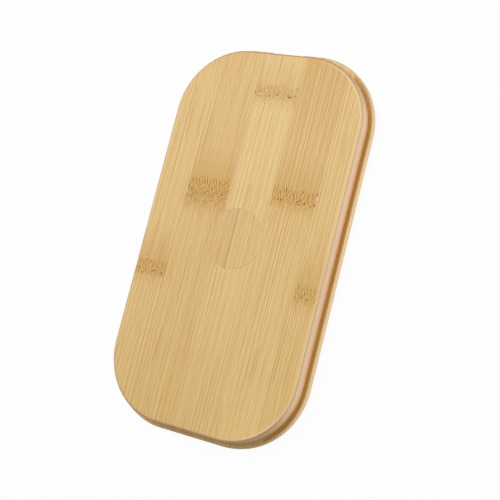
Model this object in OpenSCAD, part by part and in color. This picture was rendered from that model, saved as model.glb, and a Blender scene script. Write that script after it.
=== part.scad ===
// Wireless charging pad: a bamboo cover plate screwed onto a slightly wider bamboo base plate,
// with a charging coil, a circuit board and a USB-C port held in pockets between them.
// Millimetres. X is the width, +Y points to the port end, Z rises from the table.

/* [Base plate] */
// Length of the base plate
base_len = 156; // [140:1:180]
// Width of the base plate
base_wid = 86; // [80:1:110]
// Thickness of the base plate
base_thick = 3; // [2.4:0.1:5]
// Corner radius of the base plate
base_corner = 29; // [20:0.5:36]
// Rounding of the base plate's edges
base_edge = 0.6; // [0.2:0.1:1]
// Width of the notch that clears a plug at the port end
notch_wid = 14; // [13:0.5:18]
// Depth of the notch behind the cover's end face
notch_under = 1; // [0.4:0.1:1.5]

/* [Cover plate] */
// Ledge that the base plate shows around the cover
ledge = 2; // [1:0.1:4]
// Thickness of the cover plate
cover_thick = 5.5; // [5.2:0.1:8]
// Rounding of the cover's top edge
cover_edge = 1; // [0.3:0.1:1.5]
// Wood left above the pockets
roof = 1.6; // [1.2:0.1:2]
// Wood left between the board pocket and the port end
end_wall = 3.4; // [2.5:0.1:5]

/* [Inlay] */
// Diameter of the round inlay
inlay_dia = 24; // [16:1:32]
// Thickness of the inlay
inlay_thick = 0.8; // [0.5:0.1:1]
// Gap around the inlay
inlay_gap = 0.05; // [0.02:0.01:0.1]

/* [Feet] */
// Diameter of a foot
foot_dia = 10; // [6:0.5:14]
// Height of a foot below the base plate
foot_proud = 0.8; // [0.5:0.1:2]
// Depth of the recess that a foot is glued into
foot_sunk = 0.6; // [0.3:0.1:1]
// Rounding of a foot's lower edge
foot_edge = 0.4; // [0.1:0.1:0.5]
// Gap around a foot in its recess
foot_gap = 0.1; // [0.05:0.05:0.3]
// Distance from the base plate's edge to a foot's centre, along the corner's diagonal
foot_inset = 10; // [8:0.5:15]

/* [Base screws] */
// Thread diameter of a base screw
screw_dia = 2.2; // [1.8:0.1:2.6]
// Length of a base screw with its head
screw_len = 6.5; // [5.5:0.5:7]
// Diameter of the countersunk head
screw_head_dia = 4; // [3.4:0.1:5]
// Gap around a screw's thread and head
screw_gap = 0.03; // [0.02:0.01:0.1]
// Distance from the cover's long edge to a base screw
screw_inset = 8; // [6:0.5:10]
// Distance from the start of the corner's arc to a base screw
screw_back = 9; // [0:1:20]

/* [Circuit board] */
// Length of the board
board_len = 34; // [30:1:38]
// Thickness of the board
board_thick = 1; // [0.8:0.1:1.2]
// Board left beyond the outer coil lead
board_margin = 2.4; // [2:0.1:4]
// Width of the board at its front edge
board_front_wid = 28; // [26:1:32]
// Gap around the board
board_gap = 0.2; // [0.1:0.05:0.4]
// Width of the ledges in the cover that carry the board
board_ledge = 6; // [5:0.5:8]
// Rim of the base plate that the board rests on
board_rim = 1.2; // [0.8:0.1:2]
// Depth of the relief in the base plate under the board
board_relief = 1.2; // [1:0.1:1.6]
// Thread diameter of a board screw
board_screw_dia = 1.6; // [1.4:0.1:2]
// Length of a board screw under its head
board_screw_len = 3.6; // [3:0.1:4]
// Head diameter of a board screw
board_screw_head_dia = 2.8; // [2.4:0.1:3.4]
// Distance from the board's front edge to its screws
board_screw_back = 18; // [14:1:20]

/* [Port] */
// Width of the USB-C shell
usb_wid = 8.94; // [8.9:0.01:9.2]
// Height of the USB-C shell
usb_hgt = 3.26; // [3.2:0.01:3.4]
// Length of the USB-C shell
usb_len = 8; // [7.5:0.1:9]
// Sheet thickness of the USB-C shell
usb_wall = 0.3; // [0.2:0.05:0.35]
// Depth that the shell sinks below the board's top
usb_sink = 0.8; // [0.4:0.1:0.8]
// Distance from the cover's end to the shell's mouth
usb_recess = 0.2; // [0:0.1:0.5]
// Gap around the shell
usb_gap = 0.2; // [0.1:0.05:0.4]
// Length of the contact tongue
tongue_len = 4.8; // [4:0.1:5]
// Thickness of the contact tongue
tongue_thick = 0.7; // [0.6:0.05:0.8]

/* [Light pipe] */
// Diameter of the light pipe
pipe_dia = 2; // [1.5:0.1:2.2]
// Diameter of the flange that stops the light pipe inside the wall
pipe_flange_dia = 2.8; // [2.6:0.1:3]
// Thickness of the flange
pipe_flange_thick = 0.6; // [0.4:0.1:0.8]
// Gap around the light pipe
pipe_gap = 0.05; // [0.02:0.01:0.1]
// Distance from the middle of the port to the light pipe
pipe_side = 9.5; // [8:0.5:11]

/* [Coil] */
// Diameter of the coil wire
wire_dia = 1.1; // [0.8:0.05:1.3]
// Inner diameter of the coil
coil_inner = 20.5; // [18:0.5:24]
// Turns of the coil
coil_turns = 10; // [6:1:11]
// Gap between turns
turn_gap = 0.1; // [0.05:0.05:0.2]
// Length of each coil lead over the board
lead_seat = 3.5; // [2.5:0.5:4]
// Part of the board behind the ledges that the leads need
lead_land = 8; // [5:0.5:10]
// Ferrite beyond the coil
ferrite_margin = 2.5; // [1:0.5:4]
// Thickness of the ferrite disc
ferrite_thick = 1.2; // [0.8:0.1:1.4]
// Foam pad kept back from the ferrite disc's edge
foam_inset = 1.5; // [0.5:0.5:4]
// Thickness of the coil's adhesive ring
tape_thick = 0.15; // [0.1:0.05:0.3]
// Gap around the ferrite disc
pocket_gap = 0.5; // [0.3:0.1:1]
// Radius of a solder joint
solder_r = 1.5; // [1.2:0.1:1.8]

/* [Hidden] */
$fn = 64;

// How far a cut runs past the face that it opens
over = 1;

// Cover outline, from the base plate and the ledge
cover_len = base_len - 2 * ledge;
cover_wid = base_wid - 2 * ledge;
cover_corner = base_corner - ledge;

// Heights of the plates
base_bot = foot_proud;
base_top = base_bot + base_thick;
cover_top = base_top + cover_thick;
roof_z = cover_top - roof;

// Foot and base screw places
foot_reach = (base_corner - foot_inset) * cos(45);
foot_x = base_wid / 2 - base_corner + foot_reach;
foot_y = base_len / 2 - base_corner + foot_reach;
screw_x = cover_wid / 2 - screw_inset;
screw_y = cover_len / 2 - cover_corner - screw_back;
screw_head_hgt = (screw_head_dia - screw_dia) / 2;
screw_tip_room = 0.2;
screw_slot_wid = 0.5;
screw_slot_deep = 0.8;

// Coil: half turns about two centres half a pitch apart
coil_pitch = wire_dia + turn_gap;
coil_r0 = coil_inner / 2 + wire_dia / 2;
coil_last_r = coil_r0 + (coil_turns - 1) * coil_pitch;
coil_outer_r = coil_last_r + wire_dia / 2;
coil_z = roof_z - tape_thick - wire_dia / 2;
coil_bot = coil_z - wire_dia / 2;
ferrite_r = coil_outer_r + ferrite_margin;
ferrite_bot = coil_bot - ferrite_thick;
pocket_r = ferrite_r + pocket_gap;
lead_gap = 0.1;
lead_drop = wire_dia + lead_gap;
lead_z = coil_z - lead_drop;
lead_slot = wire_dia + 4 * lead_gap;

// Board outline and heights
board_top = base_top + board_thick;
board_wid = 2 * (coil_last_r + board_margin);
board_front = cover_len / 2 - end_wall - board_gap;
board_rear = board_front - board_len;
board_chamfer = (board_wid - board_front_wid) / 2;
lead_end = board_rear + lead_seat;
board_screw_x = board_wid / 2 - board_ledge / 2;
board_screw_y = board_front - board_screw_back;
board_screw_head_hgt = 0.9;
board_screw_head_room = 0.3;

// Port: the shell is sunk into a cut-out in the board
usb_front = cover_len / 2 - usb_recess;
usb_rear = usb_front - usb_len;
usb_z = board_top - usb_sink + usb_hgt / 2;
usb_wing_wid = 1.2;
usb_wing_inset = 0.5;
insulator_gap = 0.02;
insulator_len = 2;
tongue_wid = 6.7;
contact_count = 12;
contact_pitch = 0.5;
contact_wid = 0.25;
contact_thick = 0.05;
contact_tip = 0.6;
tail_len = 1.2;
tail_thick = 0.15;

// Light pipe: it stands clear of the board and meets the light's face
pipe_clear = 0.1;
pipe_z = board_top + pipe_flange_dia / 2 + pipe_clear;
pipe_inner = cover_len / 2 - end_wall - pipe_flange_thick;

// Board parts: width, length and height of each kind, and their places
// as the distance from the middle and the distance back from the board's front edge.
// The transistors and the capacitors of the coil keep their distance from the rear edge.
led_size = [3, 1.2, 2];
led_lens_r = 0.6;
choke_size = [5, 5, 2];
choke_edge = 1;
choke_place = [-10.5, 7];
fuse_size = [3.2, 1.6, 0.6];
fuse_place = [-7, 12.5];
chip_size = [5, 5, 0.85];
chip_dot = [0.4, 0.1];
chip_place = [0, 17];
driver_size = [3, 3, 0.9];
driver_places = [[-7.5, 15.2], [7.5, 15.2]];
crystal_size = [3.2, 2.5, 0.75];
crystal_edge = 0.4;
crystal_place = [11.5, 13];
transistor_size = [3.3, 3.3, 0.8];
transistor_rear = 10.5;
transistor_columns = [-11, -5.8, 5.8, 11];
transistor_places = [for (x = transistor_columns) [x, board_len - transistor_rear]];
resonant_size = [3.2, 2.5, 1.8];
resonant_rear = 6.3;
resonant_columns = [-6.6, -2.2, 2.2, 6.6];
resonant_places = [for (x = resonant_columns) [x, board_len - resonant_rear]];
filter_size = [3.2, 2.5, 1.6];
filter_places = [[-2.3, 10], [2.3, 10], [6.9, 10]];
resistor_size = [1.6, 0.8, 0.45];
resistor_columns = [-3, -1, 1, 3];
resistor_rows = [13.2, 20.8];
resistor_places = [for (row = resistor_rows, column = resistor_columns) [column, row]];
end_cap = 0.25;

// Quarter-round cut that rounds a corner of a 2-D outline
module corner_cut(r) {
  difference() {
    square(2 * r);
    circle(r);
  }
}

// Half of a plate's section, from its middle out to its rounded edge
module edge_profile(reach, thick, top_edge, low_edge) {
  difference() {
    square([reach, thick]);
    translate([reach - top_edge, thick - top_edge]) corner_cut(top_edge);
    if (low_edge > 0)
      translate([reach - low_edge, low_edge]) mirror([0, 1]) corner_cut(low_edge);
  }
}

// Plate with round corners and rounded edges, lying on z = 0
module plate(wid, len, thick, corner, top_edge, low_edge) {
  run_x = wid / 2 - corner;
  run_y = len / 2 - corner;
  for (quarter = [0 : 3]) {
    side_x = quarter == 0 || quarter == 3 ? run_x : -run_x;
    side_y = quarter < 2 ? run_y : -run_y;
    translate([side_x, side_y, 0])
      rotate([0, 0, 90 * quarter])
        rotate_extrude(angle = 90) edge_profile(corner, thick, top_edge, low_edge);
  }
  for (turn = [0, 180]) {
    rotate([0, 0, turn]) rotate([90, 0, 0])
      linear_extrude(2 * run_y, center = true)
        edge_profile(wid / 2, thick, top_edge, low_edge);
    rotate([0, 0, turn + 90]) rotate([90, 0, 0])
      linear_extrude(2 * run_x, center = true)
        edge_profile(len / 2, thick, top_edge, low_edge);
  }
}

// Flat outline with straight sides and half-round ends
module stadium(wid, hgt) {
  square([wid - hgt, hgt], center = true);
  for (side = [-1, 1]) translate([side * (wid - hgt) / 2, 0]) circle(hgt / 2);
}

// Flat outline with round corners
module rounded_square(wid, len, corner) {
  square([wid, len - 2 * corner], center = true);
  square([wid - 2 * corner, len], center = true);
  for (x = [-1, 1], y = [-1, 1])
    translate([x * (wid / 2 - corner), y * (len / 2 - corner)]) circle(corner);
}

// Board outline, grown by a margin on every side
module board_shape(grow) {
  half = board_wid / 2 + grow;
  front = board_front + grow;
  rear = board_rear - grow;
  chamfer = board_chamfer + grow * (2 - sqrt(2));
  polygon([
    [-half, rear], [half, rear], [half, front - chamfer],
    [half - chamfer, front], [chamfer - half, front], [-half, front - chamfer]
  ]);
}

// Cylinder that lies along +Y
module rod(dia, len) {
  rotate([-90, 0, 0]) cylinder(d = dia, h = len);
}

// Each child at the four base screw places
module at_base_screws() {
  for (x = [-1, 1], y = [-1, 1]) translate([x * screw_x, y * screw_y, base_bot]) children();
}

// Each child at the two board screw places, on the board's lower face
module at_board_screws() {
  for (x = [-1, 1]) translate([x * board_screw_x, board_screw_y, base_top]) children();
}

// Each child at the four foot places
module at_feet() {
  for (x = [-1, 1], y = [-1, 1]) translate([x * foot_x, y * foot_y, 0]) children();
}

// Child on the board's top, at a distance from the middle and back from the front edge
module on_board(place) {
  translate([place[0], board_front - place[1], board_top]) children();
}

// Chip part with a body and two slightly thicker metal ends
module chip_part(size) {
  skin = 0.03;
  translate([-size[0] / 2 + end_cap / 2, -size[1] / 2 + skin, skin])
    cube([size[0] - end_cap, size[1] - 2 * skin, size[2] - 2 * skin]);
  for (side = [-1, 1])
    translate([side * (size[0] - end_cap) / 2, 0, size[2] / 2])
      cube([end_cap, size[1], size[2]], center = true);
}

// Square package with a small dot moulded into one corner of its top
module package(size) {
  difference() {
    translate([-size[0] / 2, -size[1] / 2, 0]) cube(size);
    translate([-size[0] / 2 + 2 * chip_dot[0], size[1] / 2 - 2 * chip_dot[0], size[2] - chip_dot[1]])
      cylinder(r = chip_dot[0], h = over);
  }
}

// Cover plate with its pockets, port slot and screw holes
module cover_plate() {
  color([0.87, 0.74, 0.5]) difference() {
    translate([0, 0, base_top])
      plate(cover_wid, cover_len, cover_thick, cover_corner, cover_edge, 0);
    translate([0, 0, cover_top - inlay_thick])
      cylinder(d = inlay_dia + 2 * inlay_gap, h = inlay_thick + over);
    translate([0, 0, base_top - over]) cylinder(r = pocket_r, h = roof_z - base_top + over);
    translate([-board_wid / 2 - board_gap, 0, base_top - over])
      cube([board_wid + 2 * board_gap, board_rear + lead_land, roof_z - base_top + over]);
    translate([0, 0, base_top - over])
      linear_extrude(board_thick + over) board_shape(board_gap);
    translate([0, 0, base_top]) linear_extrude(roof_z - base_top) intersection() {
      board_shape(board_gap);
      translate([-board_wid / 2 - board_gap + board_ledge, board_rear])
        square([board_wid + 2 * board_gap - 2 * board_ledge, board_len + over]);
    }
    translate([0, cover_len / 2 - end_wall - over, usb_z]) rotate([-90, 0, 0])
      linear_extrude(end_wall + 2 * over) {
        stadium(usb_wid + 2 * usb_gap, usb_hgt + 2 * usb_gap);
        translate([-usb_wid / 2 - usb_gap, 0])
          square([usb_wid + 2 * usb_gap, usb_z - base_top + over]);
      }
    translate([pipe_side, cover_len / 2 - end_wall - over, pipe_z])
      rod(pipe_dia + 2 * pipe_gap, end_wall + 2 * over);
    at_base_screws()
      cylinder(d = screw_dia + 2 * screw_gap, h = screw_len + screw_tip_room);
    at_board_screws()
      cylinder(d = board_screw_dia + 2 * screw_gap, h = board_screw_len + screw_tip_room);
  }
}

// Round inlay, flush with the top face
module centre_inlay() {
  color([0.86, 0.72, 0.5])
    translate([0, 0, cover_top - inlay_thick]) cylinder(d = inlay_dia, h = inlay_thick);
}

// Base plate with its foot recesses, countersinks, board relief and plug notch
module base_plate() {
  color([0.8, 0.64, 0.4]) difference() {
    translate([0, 0, base_bot])
      plate(base_wid, base_len, base_thick, base_corner, base_edge, base_edge);
    at_feet() cylinder(d = foot_dia + 2 * foot_gap, h = base_bot + foot_sunk);
    at_base_screws() {
      translate([0, 0, -over]) cylinder(d = screw_dia + 2 * screw_gap, h = base_thick + 2 * over);
      cylinder(
        d1 = screw_head_dia + 2 * screw_gap, d2 = screw_dia + 2 * screw_gap, h = screw_head_hgt
      );
    }
    translate([0, 0, base_top - board_relief])
      linear_extrude(board_relief + over) board_shape(-board_rim);
    at_board_screws() translate([0, 0, -board_relief])
      cylinder(d = board_screw_head_dia + 2 * board_screw_head_room, h = board_relief + over);
    translate([-notch_wid / 2, cover_len / 2 - notch_under, base_bot - over])
      cube([notch_wid, notch_under + ledge + over, base_thick + 2 * over]);
  }
}

// Rubber feet with a rounded lower edge
module rubber_feet() {
  color([0.16, 0.16, 0.16]) at_feet()
    rotate_extrude() edge_profile(foot_dia / 2, foot_proud + foot_sunk, 0.05, foot_edge);
}

// Countersunk screws that hold the base plate to the cover, with ridged threads and cross slots
module base_screws() {
  ridges = 6;
  core = screw_dia / 2 - 0.3;
  thread_start = screw_head_hgt + 0.6;
  step = (screw_len - thread_start) / ridges;
  color([0.72, 0.72, 0.74]) at_base_screws() difference() {
    rotate_extrude() polygon([
      [0, 0], [screw_head_dia / 2, 0], [screw_dia / 2, screw_head_hgt],
      for (ridge = [0 : ridges - 1]) each [
        [screw_dia / 2, thread_start + ridge * step],
        [core, thread_start + (ridge + 0.5) * step]
      ],
      [core, screw_len], [0, screw_len]
    ]);
    for (turn = [0, 90]) rotate([0, 0, turn])
      translate([-screw_head_dia * 0.3, -screw_slot_wid / 2, -over])
        cube([screw_head_dia * 0.6, screw_slot_wid, screw_slot_deep + over]);
  }
}

// Circuit board with its screw holes and the cut-out for the port
module circuit_board() {
  color([0.1, 0.35, 0.2]) difference() {
    translate([0, 0, base_top]) linear_extrude(board_thick) board_shape(0);
    at_board_screws() translate([0, 0, -over])
      cylinder(d = board_screw_dia + 2 * screw_gap, h = board_thick + 2 * over);
    translate([-usb_wid / 2 - usb_gap, usb_rear - usb_gap, base_top - over])
      cube([usb_wid + 2 * usb_gap, usb_len, board_thick + 2 * over]);
  }
}

// Pan-head screws that hold the board up against the cover's ledges
module board_screws() {
  color([0.72, 0.72, 0.74]) at_board_screws() difference() {
    union() {
      cylinder(d = board_screw_dia, h = board_screw_len);
      translate([0, 0, -board_screw_head_hgt])
        rotate_extrude() edge_profile(board_screw_head_dia / 2, board_screw_head_hgt, 0.05, 0.4);
    }
    for (turn = [0, 90]) rotate([0, 0, turn])
      translate([-board_screw_head_dia * 0.3, -screw_slot_wid / 2, -board_screw_head_hgt - over])
        cube([board_screw_head_dia * 0.6, screw_slot_wid, screw_slot_deep / 2 + over]);
  }
}

// Steel shell of the port, with two wings soldered onto the board
module usb_shell() {
  wing_len = board_front - usb_rear - 2 * usb_wing_inset;
  color([0.75, 0.76, 0.78]) {
    translate([0, usb_rear, usb_z]) rotate([-90, 0, 0]) linear_extrude(usb_len) difference() {
      stadium(usb_wid, usb_hgt);
      stadium(usb_wid - 2 * usb_wall, usb_hgt - 2 * usb_wall);
    }
    for (side = [-1, 1])
      translate([
        side * (usb_wid + usb_wing_wid - usb_wall) / 2,
        usb_rear + usb_wing_inset + wing_len / 2, board_top + usb_wall / 2
      ])
        cube([usb_wing_wid, wing_len, usb_wall], center = true);
  }
}

// Moulded insulator that closes the shell's rear and carries the contact tongue
module usb_insulator() {
  inset = usb_wall + insulator_gap;
  color([0.1, 0.1, 0.1]) {
    translate([0, usb_rear, usb_z]) rotate([-90, 0, 0]) linear_extrude(insulator_len)
      stadium(usb_wid - 2 * inset, usb_hgt - 2 * inset);
    translate([-tongue_wid / 2, usb_rear + insulator_len, usb_z - tongue_thick / 2])
      cube([tongue_wid, tongue_len, tongue_thick]);
  }
}

// Contact strips on both faces of the tongue, and their tails on the board
module usb_contacts() {
  color([0.9, 0.75, 0.35])
    for (i = [0 : contact_count - 1])
      translate([(i - (contact_count - 1) / 2) * contact_pitch - contact_wid / 2, 0, 0]) {
        for (low = [usb_z + tongue_thick / 2, usb_z - tongue_thick / 2 - contact_thick])
          translate([0, usb_rear + insulator_len, low])
            cube([contact_wid, tongue_len - contact_tip, contact_thick]);
        translate([0, usb_rear - tail_len, board_top]) cube([contact_wid, tail_len, tail_thick]);
      }
}

// Controller in a flat square package
module controller_chip() {
  color([0.12, 0.12, 0.13]) on_board(chip_place) package(chip_size);
}

// Gate drivers beside the controller
module driver_chips() {
  color([0.14, 0.14, 0.15]) for (place = driver_places) on_board(place) package(driver_size);
}

// Power transistors of the coil's bridge
module power_transistors() {
  color([0.15, 0.15, 0.16]) for (place = transistor_places) on_board(place) package(transistor_size);
}

// Capacitors that tune the coil
module resonant_capacitors() {
  color([0.62, 0.52, 0.4]) for (place = resonant_places) on_board(place) chip_part(resonant_size);
}

// Capacitors that smooth the supply
module filter_capacitors() {
  color([0.66, 0.56, 0.44]) for (place = filter_places) on_board(place) chip_part(filter_size);
}

// Small resistors around the controller
module chip_resistors() {
  color([0.2, 0.2, 0.22]) for (place = resistor_places) on_board(place) chip_part(resistor_size);
}

// Choke on the supply, in a square block with round corners
module input_choke() {
  color([0.3, 0.3, 0.32]) on_board(choke_place)
    linear_extrude(choke_size[2]) rounded_square(choke_size[0], choke_size[1], choke_edge);
}

// Fuse on the supply
module input_fuse() {
  color([0.85, 0.85, 0.8]) on_board(fuse_place) chip_part(fuse_size);
}

// Clock crystal in a metal can with round corners
module crystal() {
  color([0.78, 0.78, 0.76]) on_board(crystal_place)
    linear_extrude(crystal_size[2])
      rounded_square(crystal_size[0], crystal_size[1], crystal_edge);
}

// Status light that faces the light pipe, with a small round lens
module status_led() {
  lens_gap = 0.05;
  face = pipe_inner - led_lens_r - lens_gap;
  color([0.95, 0.95, 0.9]) {
    translate([pipe_side - led_size[0] / 2, face - led_size[1], board_top]) cube(led_size);
    translate([pipe_side, face, board_top + led_size[2] / 2]) sphere(led_lens_r);
  }
}

// Clear pin that carries the light through the end wall
module light_pipe() {
  color([0.9, 0.95, 1, 0.6]) translate([pipe_side, pipe_inner, pipe_z]) {
    rod(pipe_flange_dia, pipe_flange_thick);
    rod(pipe_dia, pipe_flange_thick + end_wall);
  }
}

// Arc of wire about the origin, in the X-Y plane
module wire_arc(bend, angle) {
  rotate_extrude(angle = angle) translate([bend, 0]) circle(d = wire_dia);
}

// Wire that runs along +Y and cranks down to the height of the leads
module wire_crank() {
  bend = lead_drop / 2;
  translate([0, 0, -bend]) rotate([90, 0, 90]) wire_arc(bend, 90);
  translate([0, lead_drop, -bend]) rotate([90, 0, 90]) rotate([0, 0, 180]) wire_arc(bend, 90);
}

// Lead that leaves the coil along +Y, cranks down after a run and goes on over the board
module wire_lead(run) {
  if (run > 0) translate([0, 0, coil_z]) rod(wire_dia, run);
  translate([0, run, coil_z]) wire_crank();
  translate([0, run + lead_drop, lead_z]) rod(wire_dia, lead_end - run - lead_drop);
}

// Flat spiral coil with both of its leads, wound from half turns
module charging_coil() {
  color([0.72, 0.4, 0.2]) {
    translate([0, 0, coil_z]) for (half = [0 : 2 * coil_turns - 2]) {
      upper = half % 2;
      translate([upper * coil_pitch / 2, 0, 0]) rotate([0, 0, upper == 1 ? 0 : 180])
        wire_arc(coil_r0 + half * coil_pitch / 2, 180);
    }
    translate([coil_r0, 0, 0]) wire_lead(0);
    translate([-coil_last_r, 0, 0]) wire_lead(ferrite_r);
  }
}

// Mounds of solder that hold the ends of the coil leads on the board
module coil_solder() {
  color([0.75, 0.76, 0.78])
    for (x = [-coil_last_r, coil_r0]) translate([x, lead_end - solder_r / 2, 0]) difference() {
      union() {
        translate([0, 0, board_top]) cylinder(r = solder_r, h = lead_z - board_top);
        translate([0, 0, lead_z]) sphere(solder_r);
      }
      translate([0, 0, board_top - 2 * solder_r]) cylinder(r = 2 * solder_r, h = 2 * solder_r);
      translate([0, -2 * solder_r, lead_z]) rod(wire_dia, 2.5 * solder_r);
    }
}

// Adhesive ring between the coil and the cover
module coil_tape() {
  color([0.9, 0.88, 0.8]) translate([0, 0, roof_z - tape_thick]) difference() {
    cylinder(r = coil_outer_r, h = tape_thick);
    translate([0, 0, -over]) cylinder(d = coil_inner, h = tape_thick + 2 * over);
  }
}

// Slot that lets the coil's inner lead out under its turns
module lead_slot_cut() {
  translate([coil_r0 - lead_slot / 2, -lead_slot / 2, base_top - over])
    cube([lead_slot, pocket_r + lead_slot, roof_z - base_top + over]);
}

// Ferrite disc behind the coil
module ferrite_disc() {
  color([0.25, 0.25, 0.27]) difference() {
    translate([0, 0, ferrite_bot]) cylinder(r = ferrite_r, h = ferrite_thick);
    lead_slot_cut();
  }
}

// Foam pad that presses the ferrite and the coil up against the cover
module foam_pad() {
  color([0.2, 0.2, 0.2]) difference() {
    translate([0, 0, base_top]) cylinder(r = ferrite_r - foam_inset, h = ferrite_bot - base_top);
    lead_slot_cut();
  }
}

cover_plate();
centre_inlay();
base_plate();
rubber_feet();
base_screws();
circuit_board();
board_screws();
usb_shell();
usb_insulator();
usb_contacts();
controller_chip();
driver_chips();
power_transistors();
resonant_capacitors();
filter_capacitors();
chip_resistors();
input_choke();
input_fuse();
crystal();
status_led();
light_pipe();
charging_coil();
coil_solder();
coil_tape();
ferrite_disc();
foam_pad();
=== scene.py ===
"""Wireless charging pad in bamboo: meshes, finishes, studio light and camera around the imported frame."""

import logging
import math
from collections.abc import Callable, Iterable, Sequence
from dataclasses import dataclass
from enum import Enum
from functools import cache

import bmesh
import bpy
from mathutils import Matrix, Vector


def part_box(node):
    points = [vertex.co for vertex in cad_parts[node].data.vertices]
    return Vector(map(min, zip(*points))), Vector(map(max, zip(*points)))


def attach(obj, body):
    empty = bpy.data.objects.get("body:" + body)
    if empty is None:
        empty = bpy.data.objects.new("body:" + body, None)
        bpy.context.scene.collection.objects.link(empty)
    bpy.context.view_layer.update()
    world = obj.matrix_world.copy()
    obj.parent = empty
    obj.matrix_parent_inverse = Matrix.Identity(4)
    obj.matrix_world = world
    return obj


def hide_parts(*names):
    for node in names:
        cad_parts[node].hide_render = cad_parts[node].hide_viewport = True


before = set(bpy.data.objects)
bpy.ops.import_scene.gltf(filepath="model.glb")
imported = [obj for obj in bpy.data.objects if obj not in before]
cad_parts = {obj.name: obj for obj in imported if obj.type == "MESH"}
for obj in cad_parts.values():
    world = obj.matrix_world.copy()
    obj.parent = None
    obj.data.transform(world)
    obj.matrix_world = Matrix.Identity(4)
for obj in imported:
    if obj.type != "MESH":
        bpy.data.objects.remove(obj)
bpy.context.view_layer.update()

MM = 0.001
BODY = "root"
TIN = "tinned"
SHARP = 35.0
MERGE = 1e-7
OVERRUN = 1 * MM
POLE = 0.05 * MM
WHITE = (1.0, 1.0, 1.0, 1.0)
ALONG_Y = Matrix.Rotation(-math.pi / 2, 4, "X")

log = logging.getLogger("charging_pad")

Colour = tuple[float, float, float, float]
Point = tuple[float, float]
Place = tuple[float, float, float]


def srgb(red: int, green: int, blue: int) -> Colour:
    """Turns a colour as a screen shows it into the linear colour that shaders take.

    Args:
        red: red from 0 to 255.
        green: green from 0 to 255.
        blue: blue from 0 to 255.

    Returns:
        The linear colour, opaque.
    """

    def linear(level: int) -> float:
        """Returns one channel on the linear scale."""
        share = level / 255
        return share / 12.92 if share <= 0.04045 else ((share + 0.055) / 1.055) ** 2.4

    return linear(red), linear(green), linear(blue), 1.0


def operator(operation: str, swapped: bool = False) -> "Callable[..., Signal]":
    """Makes a Python operator on signals.

    Args:
        operation: operation of the Math node that it adds.
        swapped: puts the signal last, as a reflected operator does.

    Returns:
        The operator's method.
    """

    def applied(signal: "Signal", *others: "Number") -> "Signal":
        """Adds the Math node and returns its result."""
        terms = (*others, signal) if swapped else (signal, *others)
        return signal.tree.maths(operation, *terms)

    return applied


class Signal:
    """A number that varies over a surface, on which Python operators add Math nodes."""

    def __init__(self, tree: "TreeBuilder", socket: bpy.types.NodeSocket) -> None:
        """Keeps the tree and the output socket that gives the number."""
        self.tree = tree
        self.socket = socket

    __add__ = operator("ADD")
    __radd__ = operator("ADD", swapped=True)
    __sub__ = operator("SUBTRACT")
    __rsub__ = operator("SUBTRACT", swapped=True)
    __mul__ = operator("MULTIPLY")
    __rmul__ = operator("MULTIPLY", swapped=True)
    __truediv__ = operator("DIVIDE")
    __pow__ = operator("POWER")
    __abs__ = operator("ABSOLUTE")

    def high(self, other: "Number") -> "Signal":
        """The larger of the two."""
        return self.tree.maths("MAXIMUM", self, other)

    def low(self, other: "Number") -> "Signal":
        """The smaller of the two."""
        return self.tree.maths("MINIMUM", self, other)

    def wave(self, half: float) -> "Signal":
        """Distance to the nearest multiple of twice the given half period."""
        return self.tree.maths("PINGPONG", self, half)

    def rise(self, low: "Number", high: "Number") -> "Signal":
        """Climbs smoothly from 0 at one value to 1 at another.

        Args:
            low: value up to which the result is 0.
            high: value from which the result is 1.

        Returns:
            The smooth step.
        """
        sockets = {"Value": self, "From Min": low, "From Max": high}
        node = self.tree.node("ShaderNodeMapRange", sockets, {"interpolation_type": "SMOOTHSTEP"})
        return Signal(self.tree, node.outputs["Result"])

    def fall(self, low: "Number", high: "Number") -> "Signal":
        """Drops smoothly from 1 at one value to 0 at another."""
        return 1 - self.rise(low, high)


Number = Signal | float


class TreeBuilder:
    """Adds nodes to a tree, and feeds their sockets with values or links."""

    def __init__(self, tree: bpy.types.NodeTree) -> None:
        """Starts with the given tree, emptied."""
        self.tree = tree
        self.tree.nodes.clear()

    def node(self, kind: str, sockets: dict | None = None, settings: dict | None = None) -> bpy.types.Node:
        """Adds a node.

        Args:
            kind: the node's type.
            sockets: input values or links, by socket name or number.
            settings: its own settings, set first; "stops" gives a ramp's positions and colours.

        Returns:
            The new node.
        """
        made = self.tree.nodes.new(kind)
        for name, value in (settings or {}).items():
            if name == "stops":
                self._set_stops(made.color_ramp, value)
            else:
                setattr(made, name, value)
        for key, value in (sockets or {}).items():
            self.feed(made.inputs[key], value)
        return made

    def feed(self, socket: bpy.types.NodeSocket, value: object) -> None:
        """Links a socket to a signal or another socket, or sets its value.

        Args:
            socket: the input socket.
            value: a Signal, an output socket or a plain value.
        """
        if isinstance(value, Signal):
            value = value.socket
        if isinstance(value, bpy.types.NodeSocket):
            self.tree.links.new(value, socket)
        else:
            socket.default_value = value

    def maths(self, operation: str, *terms: Number) -> Signal:
        """Adds a Math node and returns its result."""
        node = self.node("ShaderNodeMath", dict(enumerate(terms)), {"operation": operation})
        return Signal(self, node.outputs[0])

    @staticmethod
    def _set_stops(ramp: bpy.types.ColorRamp, stops: Sequence[tuple[float, Colour]]) -> None:
        """Gives a colour ramp its stops.

        Args:
            ramp: the ramp, with the two stops that every new one has.
            stops: positions from 0 to 1 in rising order, each with its colour.
        """
        while len(ramp.elements) < len(stops):
            ramp.elements.new(1.0)
        for element, (position, colour) in zip(ramp.elements, stops):
            element.position = position
            element.color = colour


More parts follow.
